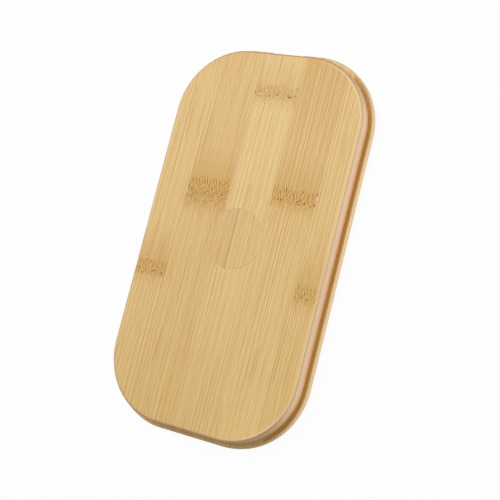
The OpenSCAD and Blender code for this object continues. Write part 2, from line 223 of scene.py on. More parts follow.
class Graph(TreeBuilder):
    """Geometry node tree with named inputs, whose result becomes a plain mesh."""

    def __init__(self, name: str) -> None:
        """Starts a tree that takes a geometry and a finish, and gives a geometry.

        Args:
            name: the tree's name.
        """
        super().__init__(bpy.data.node_groups.new(name, "GeometryNodeTree"))
        self.keys: dict[str, str] = {}
        self.source = self.node("NodeGroupInput")
        self.sink = self.node("NodeGroupOutput")
        self.tree.interface.new_socket("Geometry", in_out="OUTPUT", socket_type="NodeSocketGeometry")
        self.geometry = self.given("Geometry", "NodeSocketGeometry")
        self.finish = self.given("Finish", "NodeSocketMaterial")

    def given(self, name: str, kind: str) -> bpy.types.NodeSocket:
        """Adds a named input of a kind of socket, and returns the socket that gives its value."""
        self.keys[name] = self.tree.interface.new_socket(name, in_out="INPUT", socket_type=kind).identifier
        return self.source.outputs[name]

    def close(self, geometry: bpy.types.NodeSocket) -> None:
        """Ends the tree in plain geometry with the given finish.

        Args:
            geometry: socket of the result.
        """
        real = self.node("GeometryNodeRealizeInstances", {0: geometry})
        dressed = {"Geometry": real.outputs[0], "Material": self.finish}
        self.feed(self.sink.inputs[0], self.node("GeometryNodeSetMaterial", dressed).outputs[0])

    def run(self, piece: bpy.types.Object, values: dict[str, object], sharp: float = SHARP) -> None:
        """Turns a piece into the tree's result.

        Args:
            piece: the piece, which holds the geometry that goes in.
            values: values of the tree's other inputs, by name.
            sharp: angle in degrees past which an edge stays sharp.
        """
        modifier = piece.modifiers.new(self.tree.name, "NODES")
        modifier.node_group = self.tree
        for name, value in values.items():
            modifier[self.keys[name]] = value
        settle(piece, sharp)


class Shade(TreeBuilder):
    """Material whose nodes are written as expressions on places in millimetres."""

    def __init__(self, name: str) -> None:
        """Starts an empty material, with a Principled shader and an output.

        Args:
            name: the material's name.
        """
        self.material = bpy.data.materials.new(name)
        self.material.use_nodes = True
        super().__init__(self.material.node_tree)
        self.surface = self.node("ShaderNodeBsdfPrincipled")
        self.output = self.node("ShaderNodeOutputMaterial", {"Surface": self.surface.outputs[0]})

    def place(self) -> list[Signal]:
        """Finds the shaded point.

        Returns:
            Its X, Y and Z, in millimetres.
        """
        where = self.node("ShaderNodeTexCoord").outputs["Object"]
        scaled = self.node("ShaderNodeVectorMath", {0: where, "Scale": 1 / MM}, {"operation": "SCALE"})
        parts = self.node("ShaderNodeSeparateXYZ", {0: scaled.outputs[0]})
        return [Signal(self, out) for out in parts.outputs]

    def point(self, x: Number, y: Number, z: Number) -> bpy.types.NodeSocket:
        """Puts three numbers together into a vector."""
        return self.node("ShaderNodeCombineXYZ", {0: x, 1: y, 2: z}).outputs[0]

    def noise(self, x: Number, y: Number, z: Number, detail: float = 2.0) -> Signal:
        """Adds noise around zero, with features about one unit across.

        Args:
            x: place along X at which it is read.
            y: place along Y.
            z: place along Z.
            detail: octaves of finer noise.

        Returns:
            The noise, about -0.5 to 0.5.
        """
        sockets = {"Vector": self.point(x, y, z), "Scale": 1.0, "Detail": detail}
        return Signal(self, self.node("ShaderNodeTexNoise", sockets).outputs[0]) - 0.5

    def cells(self, x: Number, y: Number) -> tuple[Signal, Signal]:
        """Adds flat, irregular cells about one unit across.

        Args:
            x: place along X at which they are read.
            y: place along Y.

        Returns:
            The distance to the nearest middle, and a random number for each cell.
        """
        sockets = {"Vector": self.point(x, y, 0.0), "Scale": 1.0, "Randomness": 1.0}
        node = self.node("ShaderNodeTexVoronoi", sockets, {"voronoi_dimensions": "2D"})
        parts = self.node("ShaderNodeSeparateColor", {0: node.outputs["Color"]})
        return Signal(self, node.outputs["Distance"]), Signal(self, parts.outputs[0])

    def mark(self, name: str) -> Signal:
        """Reads a number that the mesh holds for each face."""
        node = self.node("ShaderNodeAttribute", None, {"attribute_name": name})
        return Signal(self, node.outputs["Fac"])

    def ramp(self, factor: Signal, stops: Sequence[tuple[float, Colour]]) -> bpy.types.NodeSocket:
        """Turns a number into a colour along a few stops."""
        return self.node("ShaderNodeValToRGB", {0: factor}, {"stops": stops}).outputs[0]

    def lookup(self, share: Signal, rows: Sequence[Place], slots: int) -> list[Signal]:
        """Looks up the three numbers of the row that a share has reached.

        Args:
            share: place in the table, from 0 to 1.
            rows: three numbers from 0 to 1 for each row.
            slots: rows that would fill the table.

        Returns:
            The three numbers.
        """
        stops = [(i / slots, (*row, 1.0)) for i, row in enumerate(rows)]
        ramp = self.node("ShaderNodeValToRGB", {0: share}, {"stops": stops})
        ramp.color_ramp.interpolation = "CONSTANT"
        parts = self.node("ShaderNodeSeparateColor", {0: ramp.outputs["Color"]})
        return [Signal(self, out) for out in parts.outputs]

    def mix(self, factor: Number, first: object, second: object, way: str = "MIX") -> bpy.types.NodeSocket:
        """Mixes two colours.

        Args:
            factor: share of the second colour.
            first: colour or socket.
            second: colour or socket.
            way: the blend mode.

        Returns:
            The mixed colour.
        """
        settings = {"data_type": "RGBA", "blend_type": way, "clamp_factor": True}
        return self.node("ShaderNodeMix", {0: factor, 6: first, 7: second}, settings).outputs[2]

    def bump(self, height: Signal, depth: float, strength: float = 1.0) -> None:
        """Raises the surface by a height from 0 to 1.

        Args:
            height: the height.
            depth: what a height of 1 is, in millimetres.
            strength: how much of it shows.
        """
        sockets = {"Height": height, "Distance": depth * MM, "Strength": strength}
        self.feed(self.surface.inputs["Normal"], self.node("ShaderNodeBump", sockets).outputs[0])

    def set(self, **sockets: object) -> None:
        """Feeds sockets of the Principled shader, with _ for each space in their names."""
        for name, value in sockets.items():
            self.feed(self.surface.inputs[name.replace("_", " ")], value)


@dataclass(frozen=True)
class Finish:
    """Finish of a piece.

    Attributes:
        name: the material's name.
    """

    name: str

    @cache
    def material(self) -> bpy.types.Material:
        """Builds the material, once for all pieces that have it.

        Returns:
            The material.
        """
        shade = Shade(self.name)
        self.paint(shade)
        return shade.material

    def paint(self, shade: Shade) -> None:
        """Feeds the shader of an empty material."""
        raise NotImplementedError


@dataclass(frozen=True)
class Strip:
    """One lengthwise strip of a laminated bamboo plate.

    Attributes:
        knuckle: place of its knuckle along Y, in millimetres.
        tone: 0 for pale wood, 1 for dark.
        vigour: how strongly the knuckle shows, from 0 to 1.
        droop: how far the knuckle's stain runs towards -Y, from 0 to 1.
        blush: 0 for golden wood, 0.5 for plain, 1 for rosy.
        drift: how much darker it grows from its middle to its +Y end.
    """

    knuckle: float
    tone: float
    vigour: float = 0.0
    droop: float = 0.0
    blush: float = 0.5
    drift: float = 0.0


@dataclass(frozen=True)
class EdgeTint:
    """Colours that a plate takes towards its edge and down its side, with places in millimetres.

    Attributes:
        top: height of the top face.
        half_wide: half the plate's width.
        half_long: half its length.
        corner: radius of its corners.
        rim: colour of a band along the edge of the top face: a painted highlight on the cover, the last
            strip's own brown with painted shade on the base.
        rim_near: inset at which the band starts.
        rim_far: inset at which it has faded out.
        rim_share: how much of the band's colour shows.
        rim_from: place across the strips from which it shows.
        rim_soft: width over which it grows there.
        side: colours down the side, each with its depth below the top face.
        end: colour of the end grain; on the cover it is darkened by painted shade.
    """

    top: float
    half_wide: float
    half_long: float
    corner: float
    rim: Colour
    rim_near: float
    rim_far: float
    rim_share: float
    rim_from: float
    rim_soft: float
    side: tuple[tuple[float, Colour], ...]
    end: Colour

    DEEPEST = 10.0
    WIDEST = 1.1
    SOFT = 0.4
    PORE = srgb(128, 86, 46)

    def applied(
        self, shade: Shade, colour: bpy.types.NodeSocket, x: Signal, y: Signal, z: Signal
    ) -> bpy.types.NodeSocket:
        """Tints a face's colour along its edge and side.

        Args:
            shade: the material.
            colour: colour of the face.
            x: place across the strips.
            y: place along the strips.
            z: height.

        Returns:
            The colour with the edge.
        """
        past_x = abs(x) - (self.half_wide - self.corner)
        past_y = abs(y) - (self.half_long - self.corner)
        reach = (past_x.high(0.0) ** 2 + past_y.high(0.0) ** 2) ** 0.5
        inset = self.corner - reach - past_x.high(past_y).low(0.0)
        depth = self.top - z
        grain = shade.noise(x / 1.2, y / 30, z / 0.35)
        stops = [(at / self.DEEPEST, tint) for at, tint in self.side]
        side = shade.ramp((depth + 0.8 * grain) / self.DEEPEST, stops)
        side = shade.mix(0.35 + grain, side, colour, "SOFT_LIGHT")
        # Towards the plate's ends the side takes the end colour and dark pores: end grain, which on the
        # cover is darkened by painted shade.
        ends = (past_y.high(0.0) / reach.high(0.01)).rise(0.25, 0.85)
        spot, chance = shade.cells(x / 0.7, z / 0.6)
        pores = spot.fall(0.12, 0.36) * chance.rise(0.3, 0.4)
        side = shade.mix(0.6 * ends, side, self.end)
        side = shade.mix(0.45 * ends * pores, side, self.PORE)
        # Rim band: painted highlight along the cover's edge, own brown with painted shade on the base's
        # ledge.
        band = inset.rise(self.rim_near - self.SOFT, self.rim_near) * inset.fall(self.rim_near, self.rim_far)
        band = band * x.rise(self.rim_from, self.rim_from + self.rim_soft)
        colour = shade.mix(self.rim_share * band, colour, self.rim)
        first = self.side[0][0]
        down = depth.rise(0.4 * first, first) * inset.fall(self.WIDEST, self.WIDEST + self.SOFT)
        return shade.mix(down, colour, side)


@dataclass(frozen=True)
class Bamboo(Finish):
    """Lacquered bamboo, laminated from strips along Y, with sizes in millimetres.

    Attributes:
        strips: the strips from -X to +X.
        first_edge: left edge of the first strip.
        seed: shifts the fibres, so that two plates differ.
        edge: colours of the edge, if the plate has one that shows.
        seam_share: how strongly the seams between strips show.
        strip_wide: width of a strip.
    """

    strips: tuple[Strip, ...]
    first_edge: float
    seed: float
    edge: EdgeTint | None = None
    seam_share: float = 0.22
    strip_wide: float = 18.8

    REACH = 160.0
    HALF_LONG = 78.0
    SLOTS = 8
    PALE = srgb(236, 204, 136)
    STRAW = srgb(224, 185, 116)
    TAN = srgb(207, 157, 85)
    ROSE = srgb(221, 183, 133)
    GOLD = srgb(221, 182, 106)
    VEIN = srgb(190, 134, 66)
    STAIN = srgb(200, 152, 70)
    AMBER = srgb(200, 144, 62)
    UMBER = srgb(150, 100, 42)
    GLINT = srgb(242, 207, 122)
    DOT = srgb(110, 60, 14)
    SEAM = srgb(176, 132, 78)

    def paint(self, shade: Shade) -> None:
        """Paints fibres, knuckles and seams, then the edge.

        Args:
            shade: the material.
        """
        x, y, z = shade.place()
        across = x + 0.9 * shade.noise(x / 22, y / 70, self.seed)
        share = (x - self.first_edge) / (self.SLOTS * self.strip_wide)
        colour, relief = self._fibres(shade, share, across, y, z)
        colour, stain = self._knuckles(shade, share, colour, across, x, y)
        seam = abs(x - self.first_edge).wave(self.strip_wide / 2).fall(0.04, 0.26)
        colour = shade.mix(self.seam_share * seam, colour, self.SEAM)
        if self.edge:
            colour = self.edge.applied(shade, colour, x, y, z)
        shade.set(
            Base_Color=colour, Roughness=0.5 + 0.25 * relief + 0.1 * stain,
            Specular_IOR_Level=0.3, Coat_Weight=0.06, Coat_Roughness=0.3,
        )
        shade.bump(0.5 + relief - 0.5 * seam - 0.4 * stain, depth=0.04, strength=0.3)

    @staticmethod
    def _lines(shade: Shade, wide: float, long: float, x: Signal, y: Signal, z: Number) -> Signal:
        """Draws fine lines along Y.

        Args:
            shade: the material.
            wide: width of a line.
            long: length of a line.
            x: place across the lines.
            y: place along the lines.
            z: slice of the noise in which they lie.

        Returns:
            Their height around zero.
        """
        near, far = (shade.noise(x / wide + shift, y / long, z, detail=1.0) for shift in (0.0, 0.8))
        return near - far

    def _fibres(
        self, shade: Shade, share: Signal, x: Signal, y: Signal, z: Signal
    ) -> tuple[bpy.types.NodeSocket, Signal]:
        """Draws the lengthwise fibres, calmer in dark strips.

        Args:
            shade: the material.
            share: place in the table of strips.
            x: place across the wavy fibres.
            y: place along the strips.
            z: height.

        Returns:
            Their colour, and the fibre height around zero.
        """
        rows = [(strip.tone, strip.blush, strip.drift + 0.5) for strip in self.strips]
        tone, blush, drift = shade.lookup(share, rows, self.SLOTS)
        tone = tone + (drift - 0.5) * y / self.HALF_LONG
        seed = self.seed
        broad = shade.noise(x / 7, y / 120, seed + z / 30)
        thin = self._lines(shade, 0.6, 160.0, x, y, z / 2 + seed + 5)
        fine = self._lines(shade, 0.35, 120.0, x, y, z + seed + 13)
        short = self._lines(shade, 0.5, 5.0, x, y, z + seed + 9)
        veins = shade.noise(x / 0.5, y / 30, seed + 27 + z).rise(0.1, 0.2)
        fibres = (1.25 - 0.5 * tone) * (0.85 * thin + 1.2 * fine + 0.6 * short)
        level = 0.05 + 0.75 * tone + 0.3 * broad + fibres
        colour = shade.ramp(level, [(0.0, self.PALE), (0.5, self.STRAW), (1.0, self.TAN)])
        warmth = blush - 0.5 + 1.2 * shade.noise(x / 0.9, y / 110, seed + 21)
        colour = shade.mix(0.5 * warmth.rise(0.0, 0.5), colour, self.ROSE)
        colour = shade.mix(0.65 * warmth.fall(-0.5, 0.0), colour, self.GOLD)
        colour = shade.mix(0.5 * veins, colour, self.VEIN)
        return colour, thin + fine

    def _knuckles(
        self, shade: Shade, share: Signal, colour: bpy.types.NodeSocket, across: Signal, x: Signal, y: Signal
    ) -> tuple[bpy.types.NodeSocket, Signal]:
        """Draws each strip's knuckle: an amber band, ragged and brown above, with dark dots and a stain.

        Args:
            shade: the material.
            share: place in the table of strips.
            colour: colour of the fibres.
            across: place across the wavy fibres.
            x: place across the strips.
            y: place along the strips.

        Returns:
            The colour with the knuckles, and how strongly they show.
        """
        rows = [(strip.knuckle / self.REACH + 0.5, strip.vigour, strip.droop) for strip in self.strips]
        level, vigour, droop = shade.lookup(share, rows, self.SLOTS)
        seed = self.seed
        off = y - (level - 0.5) * self.REACH + 3 * shade.noise(x / 6, seed, 0.0)
        ragged = shade.noise(across / 0.9, y / 5, seed + 3)
        blots = shade.noise(across / 1.5, y / 1.6, seed + 17).rise(-0.12, 0.12)
        speck = self._lines(shade, 0.5, 1.8, across, y, seed + 11)
        wash = off.rise(-1.0, 2.0) * off.fall(2.0, 22.0)
        runs = (off + 10 * ragged).rise(-6 - 8 * droop, 0.0) * off.fall(-0.5, 1.5)
        torn = off + 6 * ragged
        band = vigour * torn.rise(-3.0, -0.4) * torn.fall(1.4 + 1.6 * vigour, 3.6 + 2.2 * vigour)
        brow = vigour * abs(torn - 2.4 - 1.4 * vigour).fall(0.2, 1.6)
        spot, chance = shade.cells(across / 1.6, off / 2.0)
        row = abs(off).fall(0.6, 1.6) * vigour.rise(0.0, 0.4)
        dots = spot.fall(0.1, 0.3) * row * chance.rise(0.35, 0.45)
        for factor, tint in (
            (0.6 * vigour * wash, self.STAIN),
            (vigour * runs * (0.4 + 0.4 * blots + 0.3 * droop), self.STAIN),
            (0.35 * vigour * droop * runs * blots, self.UMBER),
            (band * (0.5 + 0.4 * blots), self.AMBER),
            (0.75 * band * speck.rise(0.0, 0.16), self.GLINT),
            ((0.6 * band + 0.8 * brow) * speck.fall(-0.22, -0.05), self.UMBER),
            (0.85 * dots, self.DOT),
        ):
            colour = shade.mix(factor, colour, tint)
        return colour, band.high(dots)


@dataclass(frozen=True)
class Grained(Finish):
    """Dull material with a fine grain, such as rubber, foam, ferrite or paper.

    Attributes:
        dark: colour of the hollows.
        light: colour of the rises.
        grain: size of the grain, in millimetres.
        rough: roughness.
        depth: depth of the grain, in millimetres.
    """

    dark: Colour
    light: Colour
    grain: float
    rough: float
    depth: float

    PATCH = 14

    def paint(self, shade: Shade) -> None:
        """Paints the grain, in patches.

        Args:
            shade: the material.
        """
        place = shade.place()
        fine, broad = (
            shade.noise(*(axis / size for axis in place)) for size in (self.grain, self.PATCH * self.grain)
        )
        colour = shade.ramp(0.5 + fine + broad, [(0.25, self.dark), (0.75, self.light)])
        shade.set(Base_Color=colour, Roughness=self.rough + 0.2 * fine + 0.2 * broad)
        shade.bump(0.5 + fine, self.depth, strength=0.6)


class Brush(Enum):
    """Direction of the fine marks on a metal, as their stretch along X, Y and Z."""

    NONE = (1.0, 1.0, 1.0)
    ALONG_Y = (1.0, 24.0, 1.0)


@dataclass(frozen=True)
class Metal(Finish):
    """Bare or plated metal with fine marks.

    Attributes:
        bright: colour where it is clean.
        dull: colour where it has tarnished.
        rough: roughness.
        marks: direction of the marks.
        size: width of a mark, in millimetres.
    """

    bright: Colour
    dull: Colour
    rough: float
    marks: Brush = Brush.NONE
    size: float = 0.06

    CLOUD = 1.8

    def paint(self, shade: Shade) -> None:
        """Paints the marks and clouds of tarnish.

        Args:
            shade: the material.
        """
        place = shade.place()
        lines = shade.noise(*(axis / (self.size * long) for axis, long in zip(place, self.marks.value)))
        cloud = shade.noise(*(axis / self.CLOUD for axis in place))
        colour = shade.mix((0.4 + 1.6 * cloud).high(0.0), self.bright, self.dull)
        shade.set(Base_Color=colour, Metallic=1.0, Roughness=self.rough + 0.25 * lines + 0.15 * cloud)
        shade.bump(0.5 + lines, depth=0.006, strength=0.5)


@dataclass(frozen=True)
class Encased(Finish):
    """Moulded or fired body with tinned or clear parts, which the mesh marks.

    Attributes:
        dark: darker colour of the body.
        light: lighter colour of the body.
        marked: colour of the marked parts.
        rough: roughness of the body.
        metallic: whether the marked parts are metal.
    """

    dark: Colour
    light: Colour
    marked: Colour
    rough: float
    metallic: bool = True

    SPECK = 0.09
    CLOUD = 0.9

    def paint(self, shade: Shade) -> None:
        """Paints the speckled body and the marked parts.

        Args:
            shade: the material.
        """
        place = shade.place()
        marked = shade.mark(TIN).rise(0.4, 0.6)
        speck, cloud = (shade.noise(*(axis / size for axis in place)) for size in (self.SPECK, self.CLOUD))
        body = shade.mix((0.5 + speck + cloud).high(0.0), self.dark, self.light)
        shade.set(
            Base_Color=shade.mix(marked, body, self.marked), Metallic=marked if self.metallic else 0.0,
            Roughness=self.rough - 0.25 * marked + 0.2 * speck,
        )
        shade.bump(0.5 + speck + 0.5 * cloud, depth=0.01, strength=0.5)


@dataclass(frozen=True)
class Laminate(Finish):
    """Glass-fibre board under a green solder mask, with copper tracks that show through it.

    Attributes:
        low: height of the board's lower face, in millimetres.
        high: height of its top face, in millimetres.
        pitch: distance between tracks, in millimetres.
        skin: thickness of the mask, in millimetres.
    """

    low: float
    high: float
    pitch: float = 1.3
    skin: float = 0.06

    MASK = srgb(22, 84, 50)
    DEEP_MASK = srgb(18, 72, 44)
    TRACK = srgb(40, 118, 66)
    FIBRE = srgb(176, 164, 112)
    DARK_FIBRE = srgb(132, 124, 84)

    def paint(self, shade: Shade) -> None:
        """Paints the mask with its tracks, and the bare fibres of the edge.

        Args:
            shade: the material.
        """
        x, y, z = shade.place()
        lines = abs(x).wave(self.pitch / 2).fall(0.15, 0.22)
        cross = abs(y).wave(self.pitch).fall(0.15, 0.22)
        fork = shade.noise(x / 9, y / 7, 2.0, detail=0.0).rise(-0.02, 0.02)
        track = lines * fork + cross * (1 - fork)
        weave = shade.noise(x / 0.25, y / 0.25, z / 0.08)
        mask = shade.mix(track, shade.mix(0.5 + weave, self.MASK, self.DEEP_MASK), self.TRACK)
        above, below = (gap.rise(self.skin / 2, self.skin) for gap in (z - self.low, self.high - z))
        edge = above * below
        fibre = shade.mix(0.5 + 1.5 * weave, self.FIBRE, self.DARK_FIBRE)
        shade.set(Base_Color=shade.mix(edge, mask, fibre), Roughness=0.35 + 0.3 * edge + 0.1 * weave)
        shade.bump(0.4 * track + 0.2 * weave, depth=0.035, strength=0.8)


@dataclass(frozen=True)
class Clear(Finish):
    """Clear, slightly milky moulded plastic.

    Attributes:
        tint: its colour.
    """

    tint: Colour

    def paint(self, shade: Shade) -> None:
        """Paints faint flow marks.

        Args:
            shade: the material.
        """
        x, y, z = shade.place()
        flow = shade.noise(x / 0.5, y / 1.6, z / 0.5)
        colour = shade.mix(0.3 + flow, self.tint, WHITE)
        shade.set(Base_Color=colour, Roughness=0.18 + 0.2 * flow, Transmission_Weight=0.35, IOR=1.49)
        shade.bump(0.5 + flow, depth=0.01, strength=0.4)


@dataclass(frozen=True)
class Span:
    """Box of a piece of the frame, in metres.

    Attributes:
        low: its lowest corner.
        high: its highest corner.
    """

    low: Vector
    high: Vector

    @classmethod
    def of(cls, node: str) -> "Span":
        """Box of a CAD node."""
        return cls(*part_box(node))

    @classmethod
    def around(cls, points: Sequence[Vector]) -> "Span":
        """Box around some points."""
        low, high = (Vector([end(p[axis] for p in points) for axis in range(3)]) for end in (min, max))
        return cls(low, high)

    @property
    def size(self) -> Vector:
        """Its width, length and height."""
        return self.high - self.low

    @property
    def middle(self) -> Vector:
        """Its centre."""
        return (self.low + self.high) / 2

    @property
    def foot(self) -> Vector:
        """The middle of its lower face."""
        return Vector((self.middle.x, self.middle.y, self.low.z))


@cache
def islands(node: str) -> list[Span]:
    """Finds the separate solids of a CAD node.

    Args:
        node: the node's name.

    Returns:
        Their boxes, in a fixed order.
    """
    bm = bmesh.new()
    bm.from_mesh(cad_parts[node].data)
    bmesh.ops.remove_doubles(bm, verts=bm.verts, dist=MERGE)
    left = set(bm.verts)
    spans = []
    while left:
        front = [left.pop()]
        found = []
        while front:
            vert = front.pop()
            found.append(vert.co.copy())
            linked = {edge.other_vert(vert) for edge in vert.link_edges} & left
            left -= linked
            front.extend(linked)
        spans.append(Span.around(found))
    bm.free()
    return sorted(spans, key=lambda span: [round(value, 6) for value in span.low])


@dataclass(frozen=True)
class Outline:
    """Rectangle with round corners about the origin, in metres.

    Attributes:
        half_wide: half its width.
        half_long: half its length.
        corner: radius of its corners.
        steps: segments of each corner.
    """

    half_wide: float
    half_long: float
    corner: float
    steps: int = 28

    def loop(self, inset: float = 0.0) -> list[Point]:
        """Walks round the outline anticlockwise.

        Args:
            inset: how far inside the outline the loop runs.

        Returns:
            The loop's points.
        """
        radius = self.corner - inset
        quarters = [(1, 1), (-1, 1), (-1, -1), (1, -1)]
        points = []
        for quarter, (side_x, side_y) in enumerate(quarters):
            for step in range(self.steps + 1):
                angle = (quarter + step / self.steps) * math.pi / 2
                points.append((
                    side_x * (self.half_wide - self.corner) + radius * math.cos(angle),
                    side_y * (self.half_long - self.corner) + radius * math.sin(angle),
                ))
        return points


@dataclass(frozen=True)
class BoardPlan:
    """Outline of the circuit board: a rectangle with its two front corners cut off at 45 degrees.

    Attributes:
        span: the board's box.
        front_wide: width of its front edge.
    """

    span: Span
    front_wide: float = 28 * MM

    def corners(self, grow: float = 0.0, trim: float = 0.0) -> list[Point]:
        """Lists the outline's corners anticlockwise.

        Args:
            grow: margin added on every side.
            trim: width taken off both long sides.

        Returns:
            The six corners.
        """
        half = self.span.size.x / 2 + grow - trim
        front = self.span.high.y + grow
        rear = self.span.low.y - grow
        cut = (self.span.size.x - self.front_wide) / 2 + grow * (2 - math.sqrt(2)) - trim
        return [
            (-half, rear), (half, rear), (half, front - cut),
            (half - cut, front), (cut - half, front), (-half, front - cut),
        ]


def rounded_edge(outer: float, inner: float, radius: float, steps: int = 8) -> list[Point]:
    """Quarter round from a vertical wall to a level face.

    Args:
        outer: height at which the wall ends.
        inner: height of the face.
        radius: radius of the round.
        steps: segments of the round.

    Returns:
        Pairs of inset and height, from the wall to the face.
    """
    angles = [step / steps * math.pi / 2 for step in range(steps + 1)]
    rise = inner - outer
    return [(radius * (1 - math.cos(a)), outer + rise * math.sin(a)) for a in angles]


def stadium(wide: float, high: float, steps: int = 12) -> list[Point]:
    """Outline with straight sides and half-round ends.

    Args:
        wide: its whole width.
        high: its height.
        steps: segments of each half round.

    Returns:
        The outline's points, anticlockwise.
    """
    radius = high / 2
    points = []
    for side in (1, -1):
        for step in range(steps + 1):
            angle = (step / steps - 0.5) * math.pi
            x = wide / 2 - radius + radius * math.cos(angle)
            points.append((side * x, side * radius * math.sin(angle)))
    return points


def placed(name: str, data: bpy.types.ID) -> bpy.types.Object:
    """Adds an object to the scene, at the origin.

    Args:
        name: its name.
        data: the mesh, lamp or camera that it shows.

    Returns:
        The object.
    """
    made = bpy.data.objects.new(name, data)
    bpy.context.scene.collection.objects.link(made)
    return made


def threaded(name: str, points: Sequence[Vector], edges: Sequence[tuple[int, int]] = ()) -> bpy.types.Object:
    """Adds a piece of bare points.

    Args:
        name: its name.
        points: the points.
        edges: pairs of points to join, by number.

    Returns:
        The piece.
    """
    mesh = bpy.data.meshes.new(name)
    mesh.from_pydata(points, edges, [])
    return placed(name, mesh)


class MeshMaker:
    """Collects faces, and turns them into an object with its place in its mesh."""

    def __init__(self, marked: float = 0.0) -> None:
        """Starts with no faces.

        Args:
            marked: mark of all faces that are added, 0 for a body.
        """
        self.bm = bmesh.new()
        self.marks = self.bm.faces.layers.float.new(TIN)
        self.marked = marked

    def face(self, corners: Sequence[bmesh.types.BMVert]) -> None:
        """Adds a face with the mark."""
        self.bm.faces.new(corners)[self.marks] = self.marked

    def loft(self, rings: Sequence[Sequence[Vector]], closed: bool = False) -> "MeshMaker":
        """Joins rings of equal count with quads.

        Args:
            rings: rings of points in order.
            closed: joins the last ring to the first in place of capping both.

        Returns:
            The maker itself, as the other shapes do.
        """
        rows = [[self.bm.verts.new(point) for point in ring] for ring in rings]
        pairs = list(zip(rows, rows[1:]))
        if closed:
            pairs.append((rows[-1], rows[0]))
        else:
            self.face(list(reversed(rows[0])))
            self.face(rows[-1])
        for low, high in pairs:
            for i, corner in enumerate(low):
                after = (i + 1) % len(low)
                self.face([corner, low[after], high[after], high[i]])
        return self

    def plate(self, outline: Outline, profile: Iterable[Point], at: Vector = Vector()) -> "MeshMaker":
        """Adds a solid with the outline in plan.

        Args:
            outline: the plan.
            profile: pairs of inset and height, from below to above.
            at: the middle of the plan, at height 0 of the profile.

        Returns:
            The maker.
        """
        return self.loft(
            [[at + Vector((x, y, z)) for x, y in outline.loop(inset)] for inset, z in profile]
        )

    def brick(
        self, size: Sequence[float], at: Vector, corner: float, edge: float, steps: int = 3
    ) -> "MeshMaker":
        """Adds a block with round corners and a rounded top edge.

        Args:
            size: width, length and height.
            at: the middle of its lower face.
            corner: radius of its corners.
            edge: rounding of its top edge.
            steps: segments of the rounds.

        Returns:
            The maker.
        """
        outline = Outline(size[0] / 2, size[1] / 2, corner, steps)
        return self.plate(outline, [(0.0, 0.0), *rounded_edge(size[2] - edge, size[2], edge, steps)], at)

    def lathe(self, profile: Sequence[Point], steps: int, at: Vector = Vector()) -> "MeshMaker":
        """Adds a solid of revolution about Z.

        Args:
            profile: pairs of radius and height, from below to above.
            steps: segments round the axis.
            at: a point on the axis.

        Returns:
            The maker.
        """
        turns = [2 * math.pi * step / steps for step in range(steps)]
        return self.loft(
            [[at + Vector((r * math.cos(a), r * math.sin(a), z)) for a in turns] for r, z in profile]
        )

    def prism(self, corners: Sequence[Point], low: float, high: float) -> "MeshMaker":
        """Adds a straight solid over a plan, between two heights."""
        return self.loft([[Vector((x, y, z)) for x, y in corners] for z in (low, high)])

    def box(self, low: Sequence[float], high: Sequence[float]) -> "MeshMaker":
        """Adds a box between two corners."""
        corners = [(low[0], low[1]), (high[0], low[1]), (high[0], high[1]), (low[0], high[1])]
        return self.prism(corners, low[2], high[2])

    def moved(self, move: Matrix) -> "MeshMaker":
        """Turns and shifts all that has been made so far."""
        self.bm.transform(move)
        return self

    def piece(self, name: str, sharp: float = SHARP) -> bpy.types.Object:
        """Ends the collection.

        Args:
            name: the piece's name.
            sharp: angle in degrees past which an edge stays sharp.

        Returns:
            The smooth-shaded piece, in the scene.
        """
        bmesh.ops.remove_doubles(self.bm, verts=self.bm.verts, dist=MERGE)
        bmesh.ops.recalc_face_normals(self.bm, faces=self.bm.faces)
        if not self.marked:
            self.bm.faces.layers.float.remove(self.marks)
        mesh = bpy.data.meshes.new(name)
        self.bm.to_mesh(mesh)
        self.bm.free()
        smooth(mesh, sharp)
        return placed(name, mesh)


def smooth(mesh: bpy.types.Mesh, sharp: float) -> None:
    """Shades a mesh smooth, apart from edges past an angle in degrees."""
    mesh.polygons.foreach_set("use_smooth", [True] * len(mesh.polygons))
    mesh.set_sharp_from_angle(angle=math.radians(sharp))


def settle(piece: bpy.types.Object, sharp: float) -> None:
    """Applies a piece's modifiers and shades it smooth.

    Args:
        piece: the piece.
        sharp: angle in degrees past which an edge stays sharp.
    """
    shown = piece.evaluated_get(bpy.context.evaluated_depsgraph_get())
    made = bpy.data.meshes.new_from_object(shown)
    piece.modifiers.clear()
    old = piece.data
    piece.data = made
    bpy.data.meshes.remove(old)
    made.name = piece.name
    smooth(made, sharp)


class Joining(Enum):
    """What happens to a piece where another solid meets it."""

    CARVE = "DIFFERENCE"
    WELD = "UNION"


def combine(
    piece: bpy.types.Object, how: Joining, *solids: MeshMaker, sharp: float = SHARP
) -> bpy.types.Object:
    """Cuts solids out of a piece, or welds them on.

    Args:
        piece: the piece.
        how: carve or weld.
        solids: the solids, one at a time.
        sharp: angle in degrees past which an edge stays sharp.

    Returns:
        The piece.
    """
    tools = [solid.piece(f"tool_{i}") for i, solid in enumerate(solids)]
    for tool in tools:
        cut = piece.modifiers.new(tool.name, "BOOLEAN")
        cut.operation = how.value
        cut.solver = "EXACT"
        cut.object = tool
    settle(piece, sharp)
    for tool in tools:
        bpy.data.objects.remove(tool)
    return piece


def dress(piece: bpy.types.Object, finish: Finish, node: str) -> None:
    """Gives a piece its finish and its body, hides the CAD node that it stands for, and reports it.

    Args:
        piece: the piece.
        finish: its finish.
        node: CAD node that it replaces.
    """
    piece.data.materials.clear()
    piece.data.materials.append(finish.material())
    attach(piece, BODY)
    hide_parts(node)
    log.info("%s stands for %s with %d faces", piece.name, node, len(piece.data.polygons))


def coat(node: str, finish: Finish) -> None:
    """Gives a CAD node that stays in view a better material, and reports it.

    Args:
        node: the node.
        finish: its finish.
    """
    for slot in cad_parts[node].material_slots:
        slot.material = finish.material()
    log.info("%s stays, in %s", node, finish.name)


